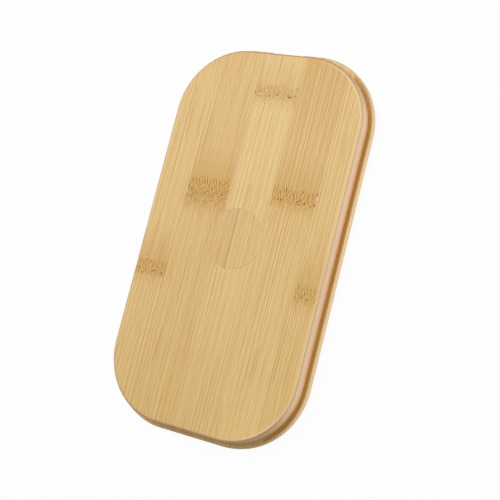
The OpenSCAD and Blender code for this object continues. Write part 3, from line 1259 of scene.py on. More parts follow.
@cache
def repeater() -> Graph:
    """Builds the tree that sets a shape on each point of a geometry.

    Returns:
        The tree, with the shape and the widest chance turn about Z as inputs.
    """
    graph = Graph("repeat_on_points")
    shape = graph.given("Shape", "NodeSocketObject")
    turn = graph.given("Widest turn", "NodeSocketFloat")
    info = graph.node("GeometryNodeObjectInfo", {"Object": shape})
    chance = graph.node("FunctionNodeRandomValue", {2: 0.0, 3: turn, "Seed": 5}, {"data_type": "FLOAT"})
    spin = graph.node("ShaderNodeCombineXYZ", {2: chance.outputs[1]})
    copies = graph.node(
        "GeometryNodeInstanceOnPoints",
        {"Points": graph.geometry, "Instance": info.outputs["Geometry"], "Rotation": spin.outputs[0]},
    )
    graph.close(copies.outputs[0])
    return graph


def build_copies(name: str, shape: bpy.types.Object, finish: Finish, node: str, turn: float = 0.0) -> None:
    """Sets a shape where a CAD node has its solids, as one dressed piece.

    Args:
        name: the new piece's name.
        shape: the shape, standing on the origin, which is used up.
        finish: the piece's finish.
        node: the CAD node.
        turn: widest chance turn about Z, in radians.
    """
    piece = threaded(name, [span.foot for span in islands(node)])
    repeater().run(piece, {"Shape": shape, "Widest turn": turn, "Finish": finish.material()})
    bpy.data.objects.remove(shape)
    dress(piece, finish, node)


def drilled(node: str, profile: Sequence[Point], steps: int = 32) -> MeshMaker:
    """Makes one round cutter about the axis of each solid of a node.

    Args:
        node: the CAD node.
        profile: pairs of radius and height.
        steps: segments round a hole.

    Returns:
        The cutters, as one.
    """
    made = MeshMaker()
    for span in islands(node):
        made.lathe(profile, steps, Vector((span.middle.x, span.middle.y, 0)))
    return made


@dataclass
class BambooShell:
    """Cover plate, inlay and base plate.

    Attributes:
        cover_corner: corner radius of the cover.
        cover_edge: rounding of the cover's top edge.
        base_corner: corner radius of the base plate.
        base_edge: rounding of the base plate's edges.
        foot_edge: rounding of the cover's lower edge.
        seam: chamfer on both sides of the inlay's seam.
        seam_gap: gap around the inlay.
        flat: level rim kept inside each rounded edge.
        round_steps: segments round the inlay and the coil pocket.
        pocket_gap: gap around the ferrite disc.
        board_gap: gap around the board.
        board_ledge: width of the ledges that carry the board.
        board_rim: rim of the base plate under the board's edge.
        board_relief: depth of the relief under the board.
        lead_land: length of the board that the coil leads need free.
        fit: gap around screws and the light pipe.
        tip_room: room past the tip of a base screw.
        head_room: gap around a board screw's head.
        foot_gap: gap around a foot.
        notch_half: half the width of the plug notch.
        notch_under: depth of the notch behind the cover's end.
        notch_corner: radius of the notch's inner corners.
    """

    cover_corner: float = 27 * MM
    cover_edge: float = 1.0 * MM
    base_corner: float = 29 * MM
    base_edge: float = 0.6 * MM
    foot_edge: float = 0.12 * MM
    seam: float = 0.03 * MM
    seam_gap: float = 0.02 * MM
    flat: float = 0.5 * MM
    round_steps: int = 128
    pocket_gap: float = 0.5 * MM
    board_gap: float = 0.2 * MM
    board_ledge: float = 6 * MM
    board_rim: float = 1.2 * MM
    board_relief: float = 1.2 * MM
    lead_land: float = 8 * MM
    fit: float = 0.04 * MM
    tip_room: float = 0.2 * MM
    head_room: float = 0.3 * MM
    foot_gap: float = 0.1 * MM
    notch_half: float = 7 * MM
    notch_under: float = 1 * MM
    notch_corner: float = 0.8 * MM

    def build(self) -> None:
        """Builds and dresses the three pieces."""
        self.build_cover()
        self.build_inlay()
        self.build_base()

    def _slab(self, name: str, span: Span, corner: float, top: float, low: float) -> bpy.types.Object:
        """Makes a plate with rounded edges.

        Args:
            name: the piece's name.
            span: its box.
            corner: radius of its corners.
            top: rounding of its top edge.
            low: rounding of its lower edge.

        Returns:
            The plate, not yet cut.
        """
        below = rounded_edge(span.low.z + low, span.low.z, low)
        above = rounded_edge(span.high.z - top, span.high.z, top)
        profile = [(low + self.flat, span.low.z), *reversed(below)]
        profile += [*above, (top + self.flat, span.high.z)]
        return MeshMaker().plate(Outline(span.size.x / 2, span.size.y / 2, corner), profile).piece(name)

    def build_cover(self) -> None:
        """Builds the cover plate with the inlay's recess, the pockets, the port slot and the screw holes."""
        span = Span.of("cover_plate")
        piece = self._slab("bamboo_cover", span, self.cover_corner, self.cover_edge, self.foot_edge)
        cuts = [self._inlay_recess(span), *self._pockets(span), *self._cover_holes(span)]
        dress(combine(piece, Joining.CARVE, *cuts), self._cover_finish(span), "cover_plate")

    def _inlay_recess(self, cover: Span) -> MeshMaker:
        """Makes the cutter for the inlay's recess, with a fine chamfer.

        Args:
            cover: the cover's box.

        Returns:
            The cutter.
        """
        inlay = Span.of("centre_inlay")
        rim = inlay.size.x / 2 + self.seam_gap
        wide = rim + self.seam
        top = cover.high.z
        profile = [(rim, inlay.low.z), (rim, top - self.seam), (wide, top), (wide, top + OVERRUN)]
        return MeshMaker().lathe(profile, self.round_steps)

    def _pockets(self, cover: Span) -> list[MeshMaker]:
        """Makes the cutters for the coil pocket and the stepped board pocket.

        Args:
            cover: the cover's box.

        Returns:
            One cutter for each pocket.
        """
        floor = cover.low.z - OVERRUN
        roof = Span.of("coil_tape").high.z
        board = Span.of("circuit_board")
        plan = BoardPlan(board)
        half = board.size.x / 2 + self.board_gap
        reach = Span.of("ferrite_disc").size.x / 2 + self.pocket_gap
        return [
            MeshMaker().lathe([(reach, floor), (reach, roof)], self.round_steps),
            MeshMaker().box((-half, 0, floor), (half, board.low.y + self.lead_land, roof)),
            MeshMaker().prism(plan.corners(self.board_gap), floor, board.high.z),
            MeshMaker().prism(plan.corners(self.board_gap, self.board_ledge), floor, roof),
        ]

    def _cover_holes(self, cover: Span) -> list[MeshMaker]:
        """Makes the cutters for the port slot, the light pipe and the screws.

        Args:
            cover: the cover's box.

        Returns:
            One cutter for each kind of hole.
        """
        floor = cover.low.z - OVERRUN
        port = Span.of("usb_shell")
        pipe = Span.of("light_pipe")
        inner = Span.of("circuit_board").high.y - OVERRUN
        outer = cover.high.y + OVERRUN
        half = Port.wide / 2 + Port.gap
        ring = stadium(2 * half, port.size.z + 2 * Port.gap)
        arch = [(x, port.middle.z + z) for x, z in ring if z >= 0]
        arch = [(half, floor), *arch, (-half, floor)]
        slot = MeshMaker().loft([[Vector((x, y, z)) for x, z in arch] for y in (outer, inner)])
        radius = StatusLight.pin + self.fit
        light = MeshMaker().lathe([(radius, 0), (radius, outer - inner)], steps=32)
        light.moved(Matrix.Translation((pipe.middle.x, inner, pipe.middle.z)) @ ALONG_Y)
        holes = [slot, light]
        for node, thread, room in (
            ("base_screws", Fasteners.base_thread, self.tip_room),
            ("board_screws", Fasteners.board_thread, self.fit),
        ):
            radius = thread + self.fit
            holes.append(drilled(node, [(radius, floor), (radius, islands(node)[0].high.z + room)]))
        return holes

    def build_inlay(self) -> None:
        """Builds the round inlay, chamfered along its seam."""
        span = Span.of("centre_inlay")
        radius = span.size.x / 2
        profile = [
            (radius - self.flat, span.low.z), (radius, span.low.z), (radius, span.high.z - self.seam),
            (radius - self.seam, span.high.z), (radius - self.flat, span.high.z),
        ]
        piece = MeshMaker().lathe(profile, self.round_steps).piece("bamboo_inlay")
        strips = (Strip(60, 0.68, blush=0.75), Strip(-60, 0.5, blush=0.3))
        finish = Bamboo("bamboo_inlay", strips, first_edge=-19.8, seed=31.0, seam_share=0.8)
        dress(piece, finish, "centre_inlay")

    def build_base(self) -> None:
        """Builds the base plate with its recesses, countersinks, board relief and plug notch."""
        span = Span.of("base_plate")
        piece = self._slab("bamboo_base", span, self.base_corner, self.base_edge, self.base_edge)
        combine(piece, Joining.CARVE, *self._underside_cuts(span), *self._upper_cuts(span))
        dress(piece, self._base_finish(span), "base_plate")

    def _underside_cuts(self, base: Span) -> list[MeshMaker]:
        """Makes the cutters for the foot recesses, the countersinks and the plug notch.

        Args:
            base: the base plate's box.

        Returns:
            One cutter for each kind.
        """
        below = base.low.z - OVERRUN
        above = base.high.z + OVERRUN
        foot = islands("rubber_feet")[0]
        reach = foot.size.x / 2 + self.foot_gap
        recesses = drilled("rubber_feet", [(reach, below), (reach, foot.high.z)], steps=64)
        head = islands("base_screws")[0].size.x / 2 + self.fit
        thread = Fasteners.base_thread + self.fit
        sunk = base.low.z + Fasteners.base_sink
        sinks = [(head, below), (head, base.low.z), (thread, sunk), (thread, above)]
        start = Span.of("cover_plate").high.y - self.notch_under
        run = base.high.y + OVERRUN - start
        outline = Outline(self.notch_half, run, self.notch_corner, steps=6)
        notch = MeshMaker().plate(outline, [(0.0, below), (0.0, above)], Vector((0, start + run, 0)))
        return [recesses, drilled("base_screws", sinks), notch]

    def _upper_cuts(self, base: Span) -> list[MeshMaker]:
        """Makes the cutters for the relief under the board and the room for its screw heads.

        Args:
            base: the base plate's box.

        Returns:
            One cutter for each kind.
        """
        floor = base.high.z - self.board_relief
        above = base.high.z + OVERRUN
        plan = BoardPlan(Span.of("circuit_board"))
        relief = MeshMaker().prism(plan.corners(-self.board_rim), floor, above)
        reach = islands("board_screws")[0].size.x / 2 + self.head_room
        return [relief, drilled("board_screws", [(reach, floor), (reach, above)])]

    @staticmethod
    def _extent(span: Span, corner: float) -> tuple[float, ...]:
        """Top, half width, half length and corner radius of a plate, in millimetres."""
        return span.high.z / MM, span.size.x / 2 / MM, span.size.y / 2 / MM, corner / MM

    def _cover_finish(self, span: Span) -> Bamboo:
        """Finish of the cover, with the strips and knuckles of its face.

        Args:
            span: the cover's box.

        Returns:
            The finish.
        """
        strips = (
            Strip(-19.0, 0.46, 0.75, 0.15, 0.55),
            Strip(17.0, 0.60, 1.0, 0.8, 0.5),
            Strip(59.0, 0.33, 0.45, 0.25, 0.6, -0.2),
            Strip(18.5, 0.56, 0.85, 0.05, 0.45, 0.4),
            Strip(-16.5, 0.50, 0.62, 0.2, 0.4),
        )
        # Colours down the wall, darker and browner towards its foot beside the ledge: a colour gradient with
        # painted shade.
        side = (
            (0.03, srgb(206, 178, 146)), (0.35, srgb(212, 185, 160)), (0.8, srgb(228, 199, 178)),
            (2.6, srgb(228, 198, 174)), (4.6, srgb(216, 178, 138)),
        )
        # Its end colour is end grain darkened by painted shade.
        # Its rim band is a painted highlight along the right-hand edge of the face, growing in from x = 14
        # mm.
        edge = EdgeTint(
            *self._extent(span, self.cover_corner), rim=srgb(240, 210, 152), rim_near=1.1, rim_far=1.9,
            rim_share=0.8, rim_from=14.0, rim_soft=16.0, side=side, end=srgb(182, 142, 98),
        )
        return Bamboo("bamboo_cover", strips, first_edge=-45.1, seed=4.0, edge=edge)

    def _base_finish(self, span: Span) -> Bamboo:
        """Finish of the base plate.

        Args:
            span: the plate's box.

        Returns:
            The finish.
        """
        strips = (
            Strip(-40.0, 0.3, 0.7, 0.2),
            Strip(-52.0, 0.2, 0.8, 0.2, 0.6),
            Strip(8.0, 0.3, 0.9, 0.3),
            Strip(-30.0, 0.2, 0.8, 0.1, 0.6),
            Strip(40.0, 0.4, 0.0, 0.2),
        )
        side = ((0.06, srgb(230, 200, 156)), (0.4, srgb(232, 206, 168)), (3.0, srgb(222, 190, 142)))
        # Its rim band is the last strip's own brown along the ledge, deepened with painted shade beside the
        # cover's wall.
        edge = EdgeTint(
            *self._extent(span, self.base_corner), rim=srgb(203, 150, 70), rim_near=0.8, rim_far=4.0,
            rim_share=0.9, rim_from=30.3, rim_soft=0.6, side=side, end=srgb(206, 160, 116),
        )
        return Bamboo("bamboo_base", strips, first_edge=-44.7, seed=57.0, edge=edge)


@dataclass
class Feet:
    """Four rubber feet with grip rings.

    Attributes:
        edge: rounding of a foot's lower edge.
        hub: radius of the point where the sole starts.
        rings: radii at which the grip grooves start.
        groove: width of a groove.
        deep: depth of a groove.
        steps: segments round a foot.
    """

    edge: float = 0.4 * MM
    hub: float = 0.3 * MM
    rings: tuple[float, ...] = (0.9 * MM, 2.0 * MM, 3.1 * MM)
    groove: float = 0.5 * MM
    deep: float = 0.15 * MM
    steps: int = 72

    RUBBER = Grained(
        "foot_rubber", srgb(30, 30, 31), srgb(58, 58, 60), grain=0.12, rough=0.72, depth=0.02
    )

    def build(self) -> None:
        """Builds the feet as copies of one foot."""
        foot = self._foot(islands("rubber_feet")[0])
        build_copies("rubber_feet_grip", foot, self.RUBBER, "rubber_feet")

    def _foot(self, span: Span) -> bpy.types.Object:
        """Makes one foot on the origin.

        Args:
            span: box of a foot.

        Returns:
            The foot.
        """
        radius = span.size.x / 2
        high = span.size.z
        slope = self.deep / 2
        sole = [(self.hub, 0.0)]
        for start in self.rings:
            end = start + self.groove
            sole += [(start, 0.0), (start + slope, self.deep), (end - slope, self.deep), (end, 0.0)]
        side = [(radius - inset, z) for inset, z in reversed(rounded_edge(self.edge, 0.0, self.edge))]
        top = [(radius, high - slope), (radius - slope, high)]
        return MeshMaker().lathe([*sole, *side, *top], self.steps).piece("foot", sharp=40.0)


class Head(Enum):
    """Form of a screw's head."""

    COUNTERSUNK = "countersunk"
    PAN = "pan"


@dataclass(frozen=True)
class Screw:
    """Screw along +Z from the origin, with its thread and the cross recess in its head.

    Attributes:
        head: form of the head.
        head_radius: radius of the head.
        head_high: height of the head.
        radius: outer radius of the thread.
        end: height of the tip.
    """

    head: Head
    head_radius: float
    head_high: float
    radius: float
    end: float

    PITCH = 0.8 * MM
    CORE_SHARE = 0.72
    STEPS = 32
    LEVELS_PER_TURN = 10
    FADE_LEVELS = 8
    TIP_SHARE = 0.45
    TAPER_TURNS = 1.6
    RIDGE_SLOPE = 3.2
    RIM_HIGH = 0.1 * MM
    FACE_SHARE = 0.9
    ROUND_SHARE = 0.45
    SLOT_HALF = 0.25 * MM
    SLOT_DEEP_SHARE = 0.8
    SLOT_ENDS = ((-1, 0.62, 1.0), (0, 0.62, 1.0), (1, 0.30, 0.6))
    CREASE = 30.0

    def made(self) -> bpy.types.Object:
        """Makes the screw.

        Returns:
            The screw, with the outer face of its head on the origin.
        """
        rings = [self._ring(z, base, thread) for z, base, thread in self._levels()]
        screw = MeshMaker().loft(rings).piece("screw", self.CREASE)
        blades = [self._blade(turn) for turn in (0.0, math.pi / 2)]
        return combine(screw, Joining.CARVE, *blades, sharp=self.CREASE)

    def _levels(self) -> list[Place]:
        """Lists heights, each with its radius and how far the thread stands out there.

        Returns:
            The heights, from the head to the tip.
        """
        neck = self.head_high
        if self.head is Head.COUNTERSUNK:
            levels = [
                (0.0, self.FACE_SHARE * self.head_radius, 0.0), (0.0, self.head_radius, 0.0),
                (self.RIM_HIGH, self.head_radius, 0.0), (neck, self.radius, 0.0),
            ]
        else:
            round_off = rounded_edge(self.ROUND_SHARE * neck, 0.0, self.ROUND_SHARE * neck)
            levels = [(z, self.head_radius - inset, 0.0) for inset, z in reversed(round_off)]
            levels += [(neck, self.head_radius, 0.0), (neck, self.radius, 0.0)]
        core = self.CORE_SHARE * self.radius
        first = neck + 0.5 * self.PITCH
        levels.append((first, core, 0.0))
        count = math.ceil((self.end - first) / self.PITCH * self.LEVELS_PER_TURN)
        for step in range(1, count + 1):
            z = first + (self.end - first) * step / count
            taper = min(1.0, self.TIP_SHARE + (self.end - z) / (self.TAPER_TURNS * self.PITCH))
            grown = min(1.0, step / self.FADE_LEVELS)
            levels.append((z, core * taper, (self.radius - core) * taper * grown))
        return levels

    def _ring(self, z: float, base: float, thread: float) -> list[Vector]:
        """Makes a ring that carries the thread's ridge where it passes.

        Args:
            z: height of the ring.
            base: radius of the core.
            thread: how far the ridge stands out.

        Returns:
            The ring's points.
        """
        points = []
        for step in range(self.STEPS):
            angle = 2 * math.pi * step / self.STEPS
            phase = (z / self.PITCH - step / self.STEPS) % 1.0
            radius = base + thread * max(0.0, 1 - self.RIDGE_SLOPE * abs(phase - 0.5))
            points.append(Vector((radius * math.cos(angle), radius * math.sin(angle), z)))
        return points

    def _blade(self, turn: float) -> MeshMaker:
        """Makes one wing of the cross recess, tapered towards its bottom.

        Args:
            turn: its turn about Z, in radians.

        Returns:
            The cutter.
        """
        deep = self.SLOT_DEEP_SHARE * self.head_high
        rings = []
        for level, long, wide in self.SLOT_ENDS:
            half = long * self.head_radius
            side = wide * self.SLOT_HALF
            corners = [(-half, -side), (half, -side), (half, side), (-half, side)]
            rings.append([Vector((x, y, level * deep)) for x, y in corners])
        return MeshMaker().loft(rings).moved(Matrix.Rotation(turn, 4, "Z"))


@dataclass
class Fasteners:
    """Base screws and board screws.

    Attributes:
        base_thread: radius of a base screw's thread.
        base_sink: height of its head.
        board_thread: radius of a board screw's thread.
        board_pan: height of its head.
    """

    base_thread: float = 1.1 * MM
    base_sink: float = 0.9 * MM
    board_thread: float = 0.8 * MM
    board_pan: float = 0.9 * MM

    STEEL = Metal("screw_steel", srgb(198, 199, 202), srgb(150, 150, 152), rough=0.3)

    def build(self) -> None:
        """Builds both kinds as copies of one screw each, turned by chance."""
        for node, head, high, radius in (
            ("base_screws", Head.COUNTERSUNK, self.base_sink, self.base_thread),
            ("board_screws", Head.PAN, self.board_pan, self.board_thread),
        ):
            size = islands(node)[0].size
            screw = Screw(head, size.x / 2, high, radius, size.z)
            build_copies(f"{node}_cut", screw.made(), self.STEEL, node, math.pi / 2)


@dataclass
class Port:
    """Port at the end that the camera doesn't see.

    Attributes:
        wide: width of the shell.
        gap: gap around the shell.
        wall: thickness of its sheet.
        lip: rounding of its mouth.
        wing: thickness of the wings on the board.
        wing_inset: how far the wings end before the shell and the board do.
        tongue_wide: width of the contact tongue.
        tongue_high: thickness of the tongue.
        block_long: length of the insulator's rear block.
        tip: rounding of the tongue's tip.
    """

    wide: float = 8.94 * MM
    gap: float = 0.2 * MM
    wall: float = 0.3 * MM
    lip: float = 0.12 * MM
    wing: float = 0.3 * MM
    wing_inset: float = 0.5 * MM
    tongue_wide: float = 6.7 * MM
    tongue_high: float = 0.7 * MM
    block_long: float = 2 * MM
    tip: float = 0.1 * MM

    STEEL = Metal("port_steel", srgb(190, 192, 196), srgb(150, 152, 157), rough=0.28, marks=Brush.ALONG_Y)
    BLACK = Grained(
        "port_insulator", srgb(24, 24, 25), srgb(44, 44, 46), grain=0.08, rough=0.5, depth=0.006
    )
    GOLD = Metal("contact_gold", srgb(228, 190, 104), srgb(196, 152, 70), rough=0.22, marks=Brush.ALONG_Y)

    def build(self) -> None:
        """Builds the shell and the insulator, and plates the contacts."""
        self.build_shell()
        self.build_insulator()
        coat("usb_contacts", self.GOLD)

    @staticmethod
    def _rings(span: Span, wide: float, profile: Iterable[Point]) -> list[list[Vector]]:
        """Sets stadium outlines along Y.

        Args:
            span: box that gives their middle and height.
            wide: their width.
            profile: pairs of inset and place along Y.

        Returns:
            One ring for each pair.
        """
        rings = []
        for inset, y in profile:
            ring = stadium(wide - 2 * inset, span.size.z - 2 * inset)
            rings.append([Vector((x, y, span.middle.z + z)) for x, z in ring])
        return rings

    def build_shell(self) -> None:
        """Builds the drawn steel shell with its rolled lip, and welds the wings on."""
        span = Span.of("usb_shell")
        outer = rounded_edge(span.high.y - self.lip, span.high.y, self.lip)
        inner = [(self.wall - inset, y) for inset, y in outer]
        profile = [(0.0, span.low.y), *outer, *reversed(inner), (self.wall, span.low.y)]
        piece = MeshMaker().loft(self._rings(span, self.wide, profile), closed=True).piece("port_shell")
        dress(combine(piece, Joining.WELD, self._wings(span)), self.STEEL, "usb_shell")

    def _wings(self, span: Span) -> MeshMaker:
        """Makes the two wings that are soldered onto the board.

        Args:
            span: box of the shell with its wings.

        Returns:
            Both wings.
        """
        board = Span.of("circuit_board")
        rear = span.low.y + self.wing_inset
        front = board.high.y - self.wing_inset
        reach = span.high.x - self.wide / 2 + self.wall / 2
        made = MeshMaker()
        for side in (-1, 1):
            foot = Vector((side * (span.high.x - reach / 2), (front + rear) / 2, board.high.z))
            made.brick((reach, front - rear, self.wing), foot, corner=0.2 * MM, edge=0.1 * MM)
        return made

    def build_insulator(self) -> None:
        """Builds the moulded block with the contact tongue."""
        span = Span.of("usb_insulator")
        front = span.low.y + self.block_long
        profile = [(0.0, span.low.y), *rounded_edge(front - self.lip, front, self.lip, steps=3)]
        piece = MeshMaker().loft(self._rings(span, span.size.x, profile)).piece("port_tongue")
        sunk = 0.5 * self.block_long
        size = (self.tongue_wide, self.tongue_high, span.high.y - front + sunk)
        tongue = MeshMaker().brick(size, Vector(), corner=0.1 * MM, edge=self.tip)
        tongue.moved(Matrix.Translation((0, front - sunk, span.middle.z)) @ ALONG_Y)
        dress(combine(piece, Joining.WELD, tongue), self.BLACK, "usb_insulator")


@dataclass
class StatusLight:
    """Status light and the clear pin that carries it through the end wall.

    Attributes:
        lens: radius of the light's lens.
        lens_sunk: how far the lens reaches into the light.
        pin: radius of the clear pin.
        flange: thickness of its flange.
        bevel: bevel of the flange.
        dome: height of the pin's domed end.
        dome_turns: angles in radians at which the dome has rings.
    """

    lens: float = 0.6 * MM
    lens_sunk: float = 0.2 * MM
    pin: float = 1 * MM
    flange: float = 0.6 * MM
    bevel: float = 0.1 * MM
    dome: float = 0.15 * MM
    dome_turns: tuple[float, ...] = (0.0, 0.4, 0.8, 1.2)

    RESIN = Encased(
        "led_resin", srgb(226, 224, 216), srgb(242, 240, 234), srgb(240, 214, 120),
        rough=0.45, metallic=False,
    )
    CLEAR = Clear("light_pipe_clear", srgb(232, 236, 238))

    def build(self) -> None:
        """Builds the light and the pin."""
        self.build_light()
        self.build_pin()

    def build_light(self) -> None:
        """Builds the light: a white moulding with a round lens on its face."""
        span = Span.of("status_led")
        face = span.high.y - self.lens
        size = (span.size.x, face - span.low.y, span.size.z)
        foot = Vector((span.middle.x, (face + span.low.y) / 2, span.low.z))
        piece = MeshMaker().brick(size, foot, corner=0.12 * MM, edge=0.15 * MM).piece("status_light")
        bulge = [(self.lens - inset, z) for inset, z in rounded_edge(0.0, self.lens, self.lens)[:-1]]
        lens = MeshMaker(1.0).lathe([(self.lens, -self.lens_sunk), *bulge, (POLE, self.lens)], steps=32)
        lens.moved(Matrix.Translation((foot.x, face, span.middle.z)) @ ALONG_Y)
        dress(combine(piece, Joining.WELD, lens), self.RESIN, "status_led")

    def build_pin(self) -> None:
        """Builds the clear pin with its flange and its domed end."""
        span = Span.of("light_pipe")
        rim = span.size.x / 2
        inner = rim - self.bevel
        long = span.size.y
        base = long - self.dome
        crown = [(self.pin * math.cos(a), base + self.dome * math.sin(a)) for a in self.dome_turns]
        flange = [(inner, 0.0), (rim, self.bevel), (rim, self.flange - self.bevel), (inner, self.flange)]
        made = MeshMaker().lathe([*flange, (self.pin, self.flange), *crown, (POLE, long)], steps=48)
        made.moved(Matrix.Translation((span.middle.x, span.low.y, span.middle.z)) @ ALONG_Y)
        dress(made.piece("light_pin"), self.CLEAR, "light_pipe")


@dataclass
class Board:
    """Circuit board with the parts on it.

    Attributes:
        hole: radius of a screw hole.
        cap: width of a chip part's metal end.
        skin: how far a metal end stands out from its body.
        pad_pitch: distance between the pads of a package.
        pad_size: length, width and thickness of a pad.
        pad_margin: length of a package's side that has no pads.
        dot: radius of the dot in a package's top.
        dot_deep: depth of the dot.
        drum_step: how far the choke's drum stands out of its block.
        drum_share: radius of the drum, as a share of the block's width.
        drum_edge: rounding of the drum's edge.
        tray_share: height of the crystal's tray, as a share of the whole.
        lid_share: height of its lid, as a share of the whole.
        lid_rim: how much narrower the lid is than the tray.
    """

    hole: float = 0.83 * MM
    cap: float = 0.45 * MM
    skin: float = 0.03 * MM
    pad_pitch: float = 0.5 * MM
    pad_size: Place = (0.4 * MM, 0.25 * MM, 0.2 * MM)
    pad_margin: float = 1 * MM
    dot: float = 0.4 * MM
    dot_deep: float = 0.1 * MM
    drum_step: float = 0.25 * MM
    drum_share: float = 0.42
    drum_edge: float = 0.1 * MM
    tray_share: float = 0.4
    lid_share: float = 0.8
    lid_rim: float = 0.3 * MM

    SOLDER = srgb(196, 198, 202)
    BLACK = Encased("package_black", srgb(20, 20, 21), srgb(38, 38, 40), SOLDER, rough=0.55)
    BROWN = Encased("capacitor_ceramic", srgb(150, 116, 82), srgb(176, 142, 104), SOLDER, rough=0.5)
    GREY = Encased("resistor_ceramic", srgb(28, 28, 32), srgb(54, 54, 58), SOLDER, rough=0.4)
    PALE = Encased("fuse_ceramic", srgb(206, 206, 196), srgb(230, 229, 220), SOLDER, rough=0.4)
    CORE = Encased(
        "choke_core", srgb(70, 70, 74), srgb(98, 98, 102), srgb(52, 52, 56), rough=0.6, metallic=False
    )
    CAN = Encased("crystal_can", srgb(60, 54, 48), srgb(78, 72, 66), srgb(206, 204, 198), rough=0.5)

    def build(self) -> None:
        """Builds the board and everything that is soldered onto it."""
        self.build_laminate()
        for finish, make, nodes in (
            (self.BLACK, self._package, ("controller_chip", "driver_chips", "power_transistors")),
            (self.BROWN, self._chip, ("resonant_capacitors", "filter_capacitors")),
            (self.GREY, self._chip, ("chip_resistors",)),
            (self.PALE, self._chip, ("input_fuse",)),
        ):
            for node in nodes:
                build_copies(f"{node}_set", make(islands(node)[0].size), finish, node)
        self.build_choke()
        self.build_crystal()

    def build_laminate(self) -> None:
        """Builds the board with its port cut-out and screw holes."""
        span = Span.of("circuit_board")
        made = MeshMaker().prism(BoardPlan(span).corners(), span.low.z, span.high.z)
        piece = made.piece("board_laminate")
        below = span.low.z - OVERRUN
        above = span.high.z + OVERRUN
        half = Port.wide / 2 + Port.gap
        rear = Span.of("usb_shell").low.y - Port.gap
        cutout = MeshMaker().box((-half, rear, below), (half, span.high.y + OVERRUN, above))
        holes = drilled("board_screws", [(self.hole, below), (self.hole, above)])
        finish = Laminate("board_laminate", span.low.z / MM, span.high.z / MM)
        dress(combine(piece, Joining.CARVE, cutout, holes), finish, "circuit_board")

    def _package(self, size: Vector) -> bpy.types.Object:
        """Makes a square package with solder pads along two sides and a dot in its top.

        Args:
            size: width, length and height.

        Returns:
            The package, standing on the origin.
        """
        piece = MeshMaker().brick(size, Vector(), corner=0.1 * MM, edge=0.06 * MM).piece("package")
        corner = Vector((2 * self.dot - size.x / 2, size.y / 2 - 2 * self.dot, 0))
        bottom = (0.8 * self.dot, size.z - self.dot_deep)
        dot = MeshMaker().lathe([bottom, (self.dot, size.z), (self.dot, 2 * size.z)], steps=24, at=corner)
        combine(piece, Joining.CARVE, dot)
        pads = MeshMaker(1.0)
        count = int((size.y - self.pad_margin) / self.pad_pitch) + 1
        for side in (-1, 1):
            x = side * (size.x / 2 - self.pad_size[0] / 2 + self.skin)
            for i in range(count):
                y = (i - (count - 1) / 2) * self.pad_pitch
                pads.brick(self.pad_size, Vector((x, y, 0)), corner=self.skin, edge=self.skin, steps=1)
        return combine(piece, Joining.WELD, pads)

    def _chip(self, size: Vector) -> bpy.types.Object:
        """Makes a chip part: a body with two metal ends that stand out a little.

        Args:
            size: width, length and height.

        Returns:
            The part, standing on the origin.
        """
        body = (size.x - self.cap, size.y - 2 * self.skin, size.z - 2 * self.skin)
        foot = Vector((0, 0, self.skin))
        piece = MeshMaker().brick(body, foot, corner=0.06 * MM, edge=0.06 * MM, steps=2).piece("chip_part")
        caps = MeshMaker(1.0)
        for side in (-1, 1):
            foot = Vector((side * (size.x - self.cap) / 2, 0, 0))
            caps.brick((self.cap, size.y, size.z), foot, corner=0.08 * MM, edge=0.08 * MM, steps=2)
        return combine(piece, Joining.WELD, caps)

    def build_choke(self) -> None:
        """Builds the choke: a square block with a round drum in its top."""
        span = Span.of("input_choke")
        high = span.size.z
        block = (span.size.x, span.size.y, high - self.drum_step)
        made = MeshMaker().brick(block, span.foot, corner=1 * MM, edge=0.3 * MM, steps=5)
        piece = made.piece("choke_block")
        radius = self.drum_share * span.size.x
        edge = rounded_edge(high - self.drum_edge, high, self.drum_edge, steps=3)
        profile = [(radius, high - 2 * self.drum_step), *[(radius - inset, z) for inset, z in edge]]
        drum = MeshMaker(1.0).lathe(profile, steps=48, at=span.foot)
        dress(combine(piece, Joining.WELD, drum), self.CORE, "input_choke")

    def build_crystal(self) -> None:
        """Builds the clock crystal: a metal lid on a ceramic tray."""
        span = Span.of("crystal")
        wide, long, high = span.size
        size = (wide, long, self.tray_share * high)
        tray = MeshMaker().brick(size, span.foot, corner=0.3 * MM, edge=0.06 * MM)
        size = (wide - self.lid_rim, long - self.lid_rim, self.lid_share * high)
        foot = span.foot + Vector((0, 0, (1 - self.lid_share) * high))
        lid = MeshMaker(1.0).brick(size, foot, corner=0.35 * MM, edge=0.12 * MM, steps=4)
        dress(combine(tray.piece("crystal_can"), Joining.WELD, lid), self.CAN, "crystal")


def strand_sweep() -> Graph:
    """Builds the tree that lays twisted strands along a path.

    Returns:
        The tree, with the wire's radius, the strands round its core and the twist at each point as inputs.
    """
    graph = Graph("twisted_strands")
    radius = Signal(graph, graph.given("Wire radius", "NodeSocketFloat"))
    count = graph.given("Outer strands", "NodeSocketInt")
    twist = Signal(graph, graph.given("Twist", "NodeSocketFloat"))
    path = graph.node("GeometryNodeMeshToCurve", {0: graph.geometry})
    index = Signal(graph, graph.node("GeometryNodeInputIndex").outputs[0])
    wound = graph.node("GeometryNodeSetCurveTilt", {"Curve": path.outputs[0], "Tilt": index * twist})
    strand, ring = (
        graph.node("GeometryNodeCurvePrimitiveCircle", {"Resolution": points, "Radius": wide})
        for points, wide in ((7, radius / 3), (count, radius * 2 / 3))
    )
    copies = graph.node(
        "GeometryNodeInstanceOnPoints", {"Points": ring.outputs[0], "Instance": strand.outputs[0]}
    )
    bundle = graph.node("GeometryNodeJoinGeometry")
    for part in (copies, strand):
        graph.tree.links.new(part.outputs[0], bundle.inputs[0])
    section = graph.node("GeometryNodeRealizeInstances", {0: bundle.outputs[0]})
    swept = graph.node(
        "GeometryNodeCurveToMesh",
        {"Curve": wound.outputs[0], "Profile Curve": section.outputs[0], "Fill Caps": True},
    )
    graph.close(swept.outputs[0])
    return graph


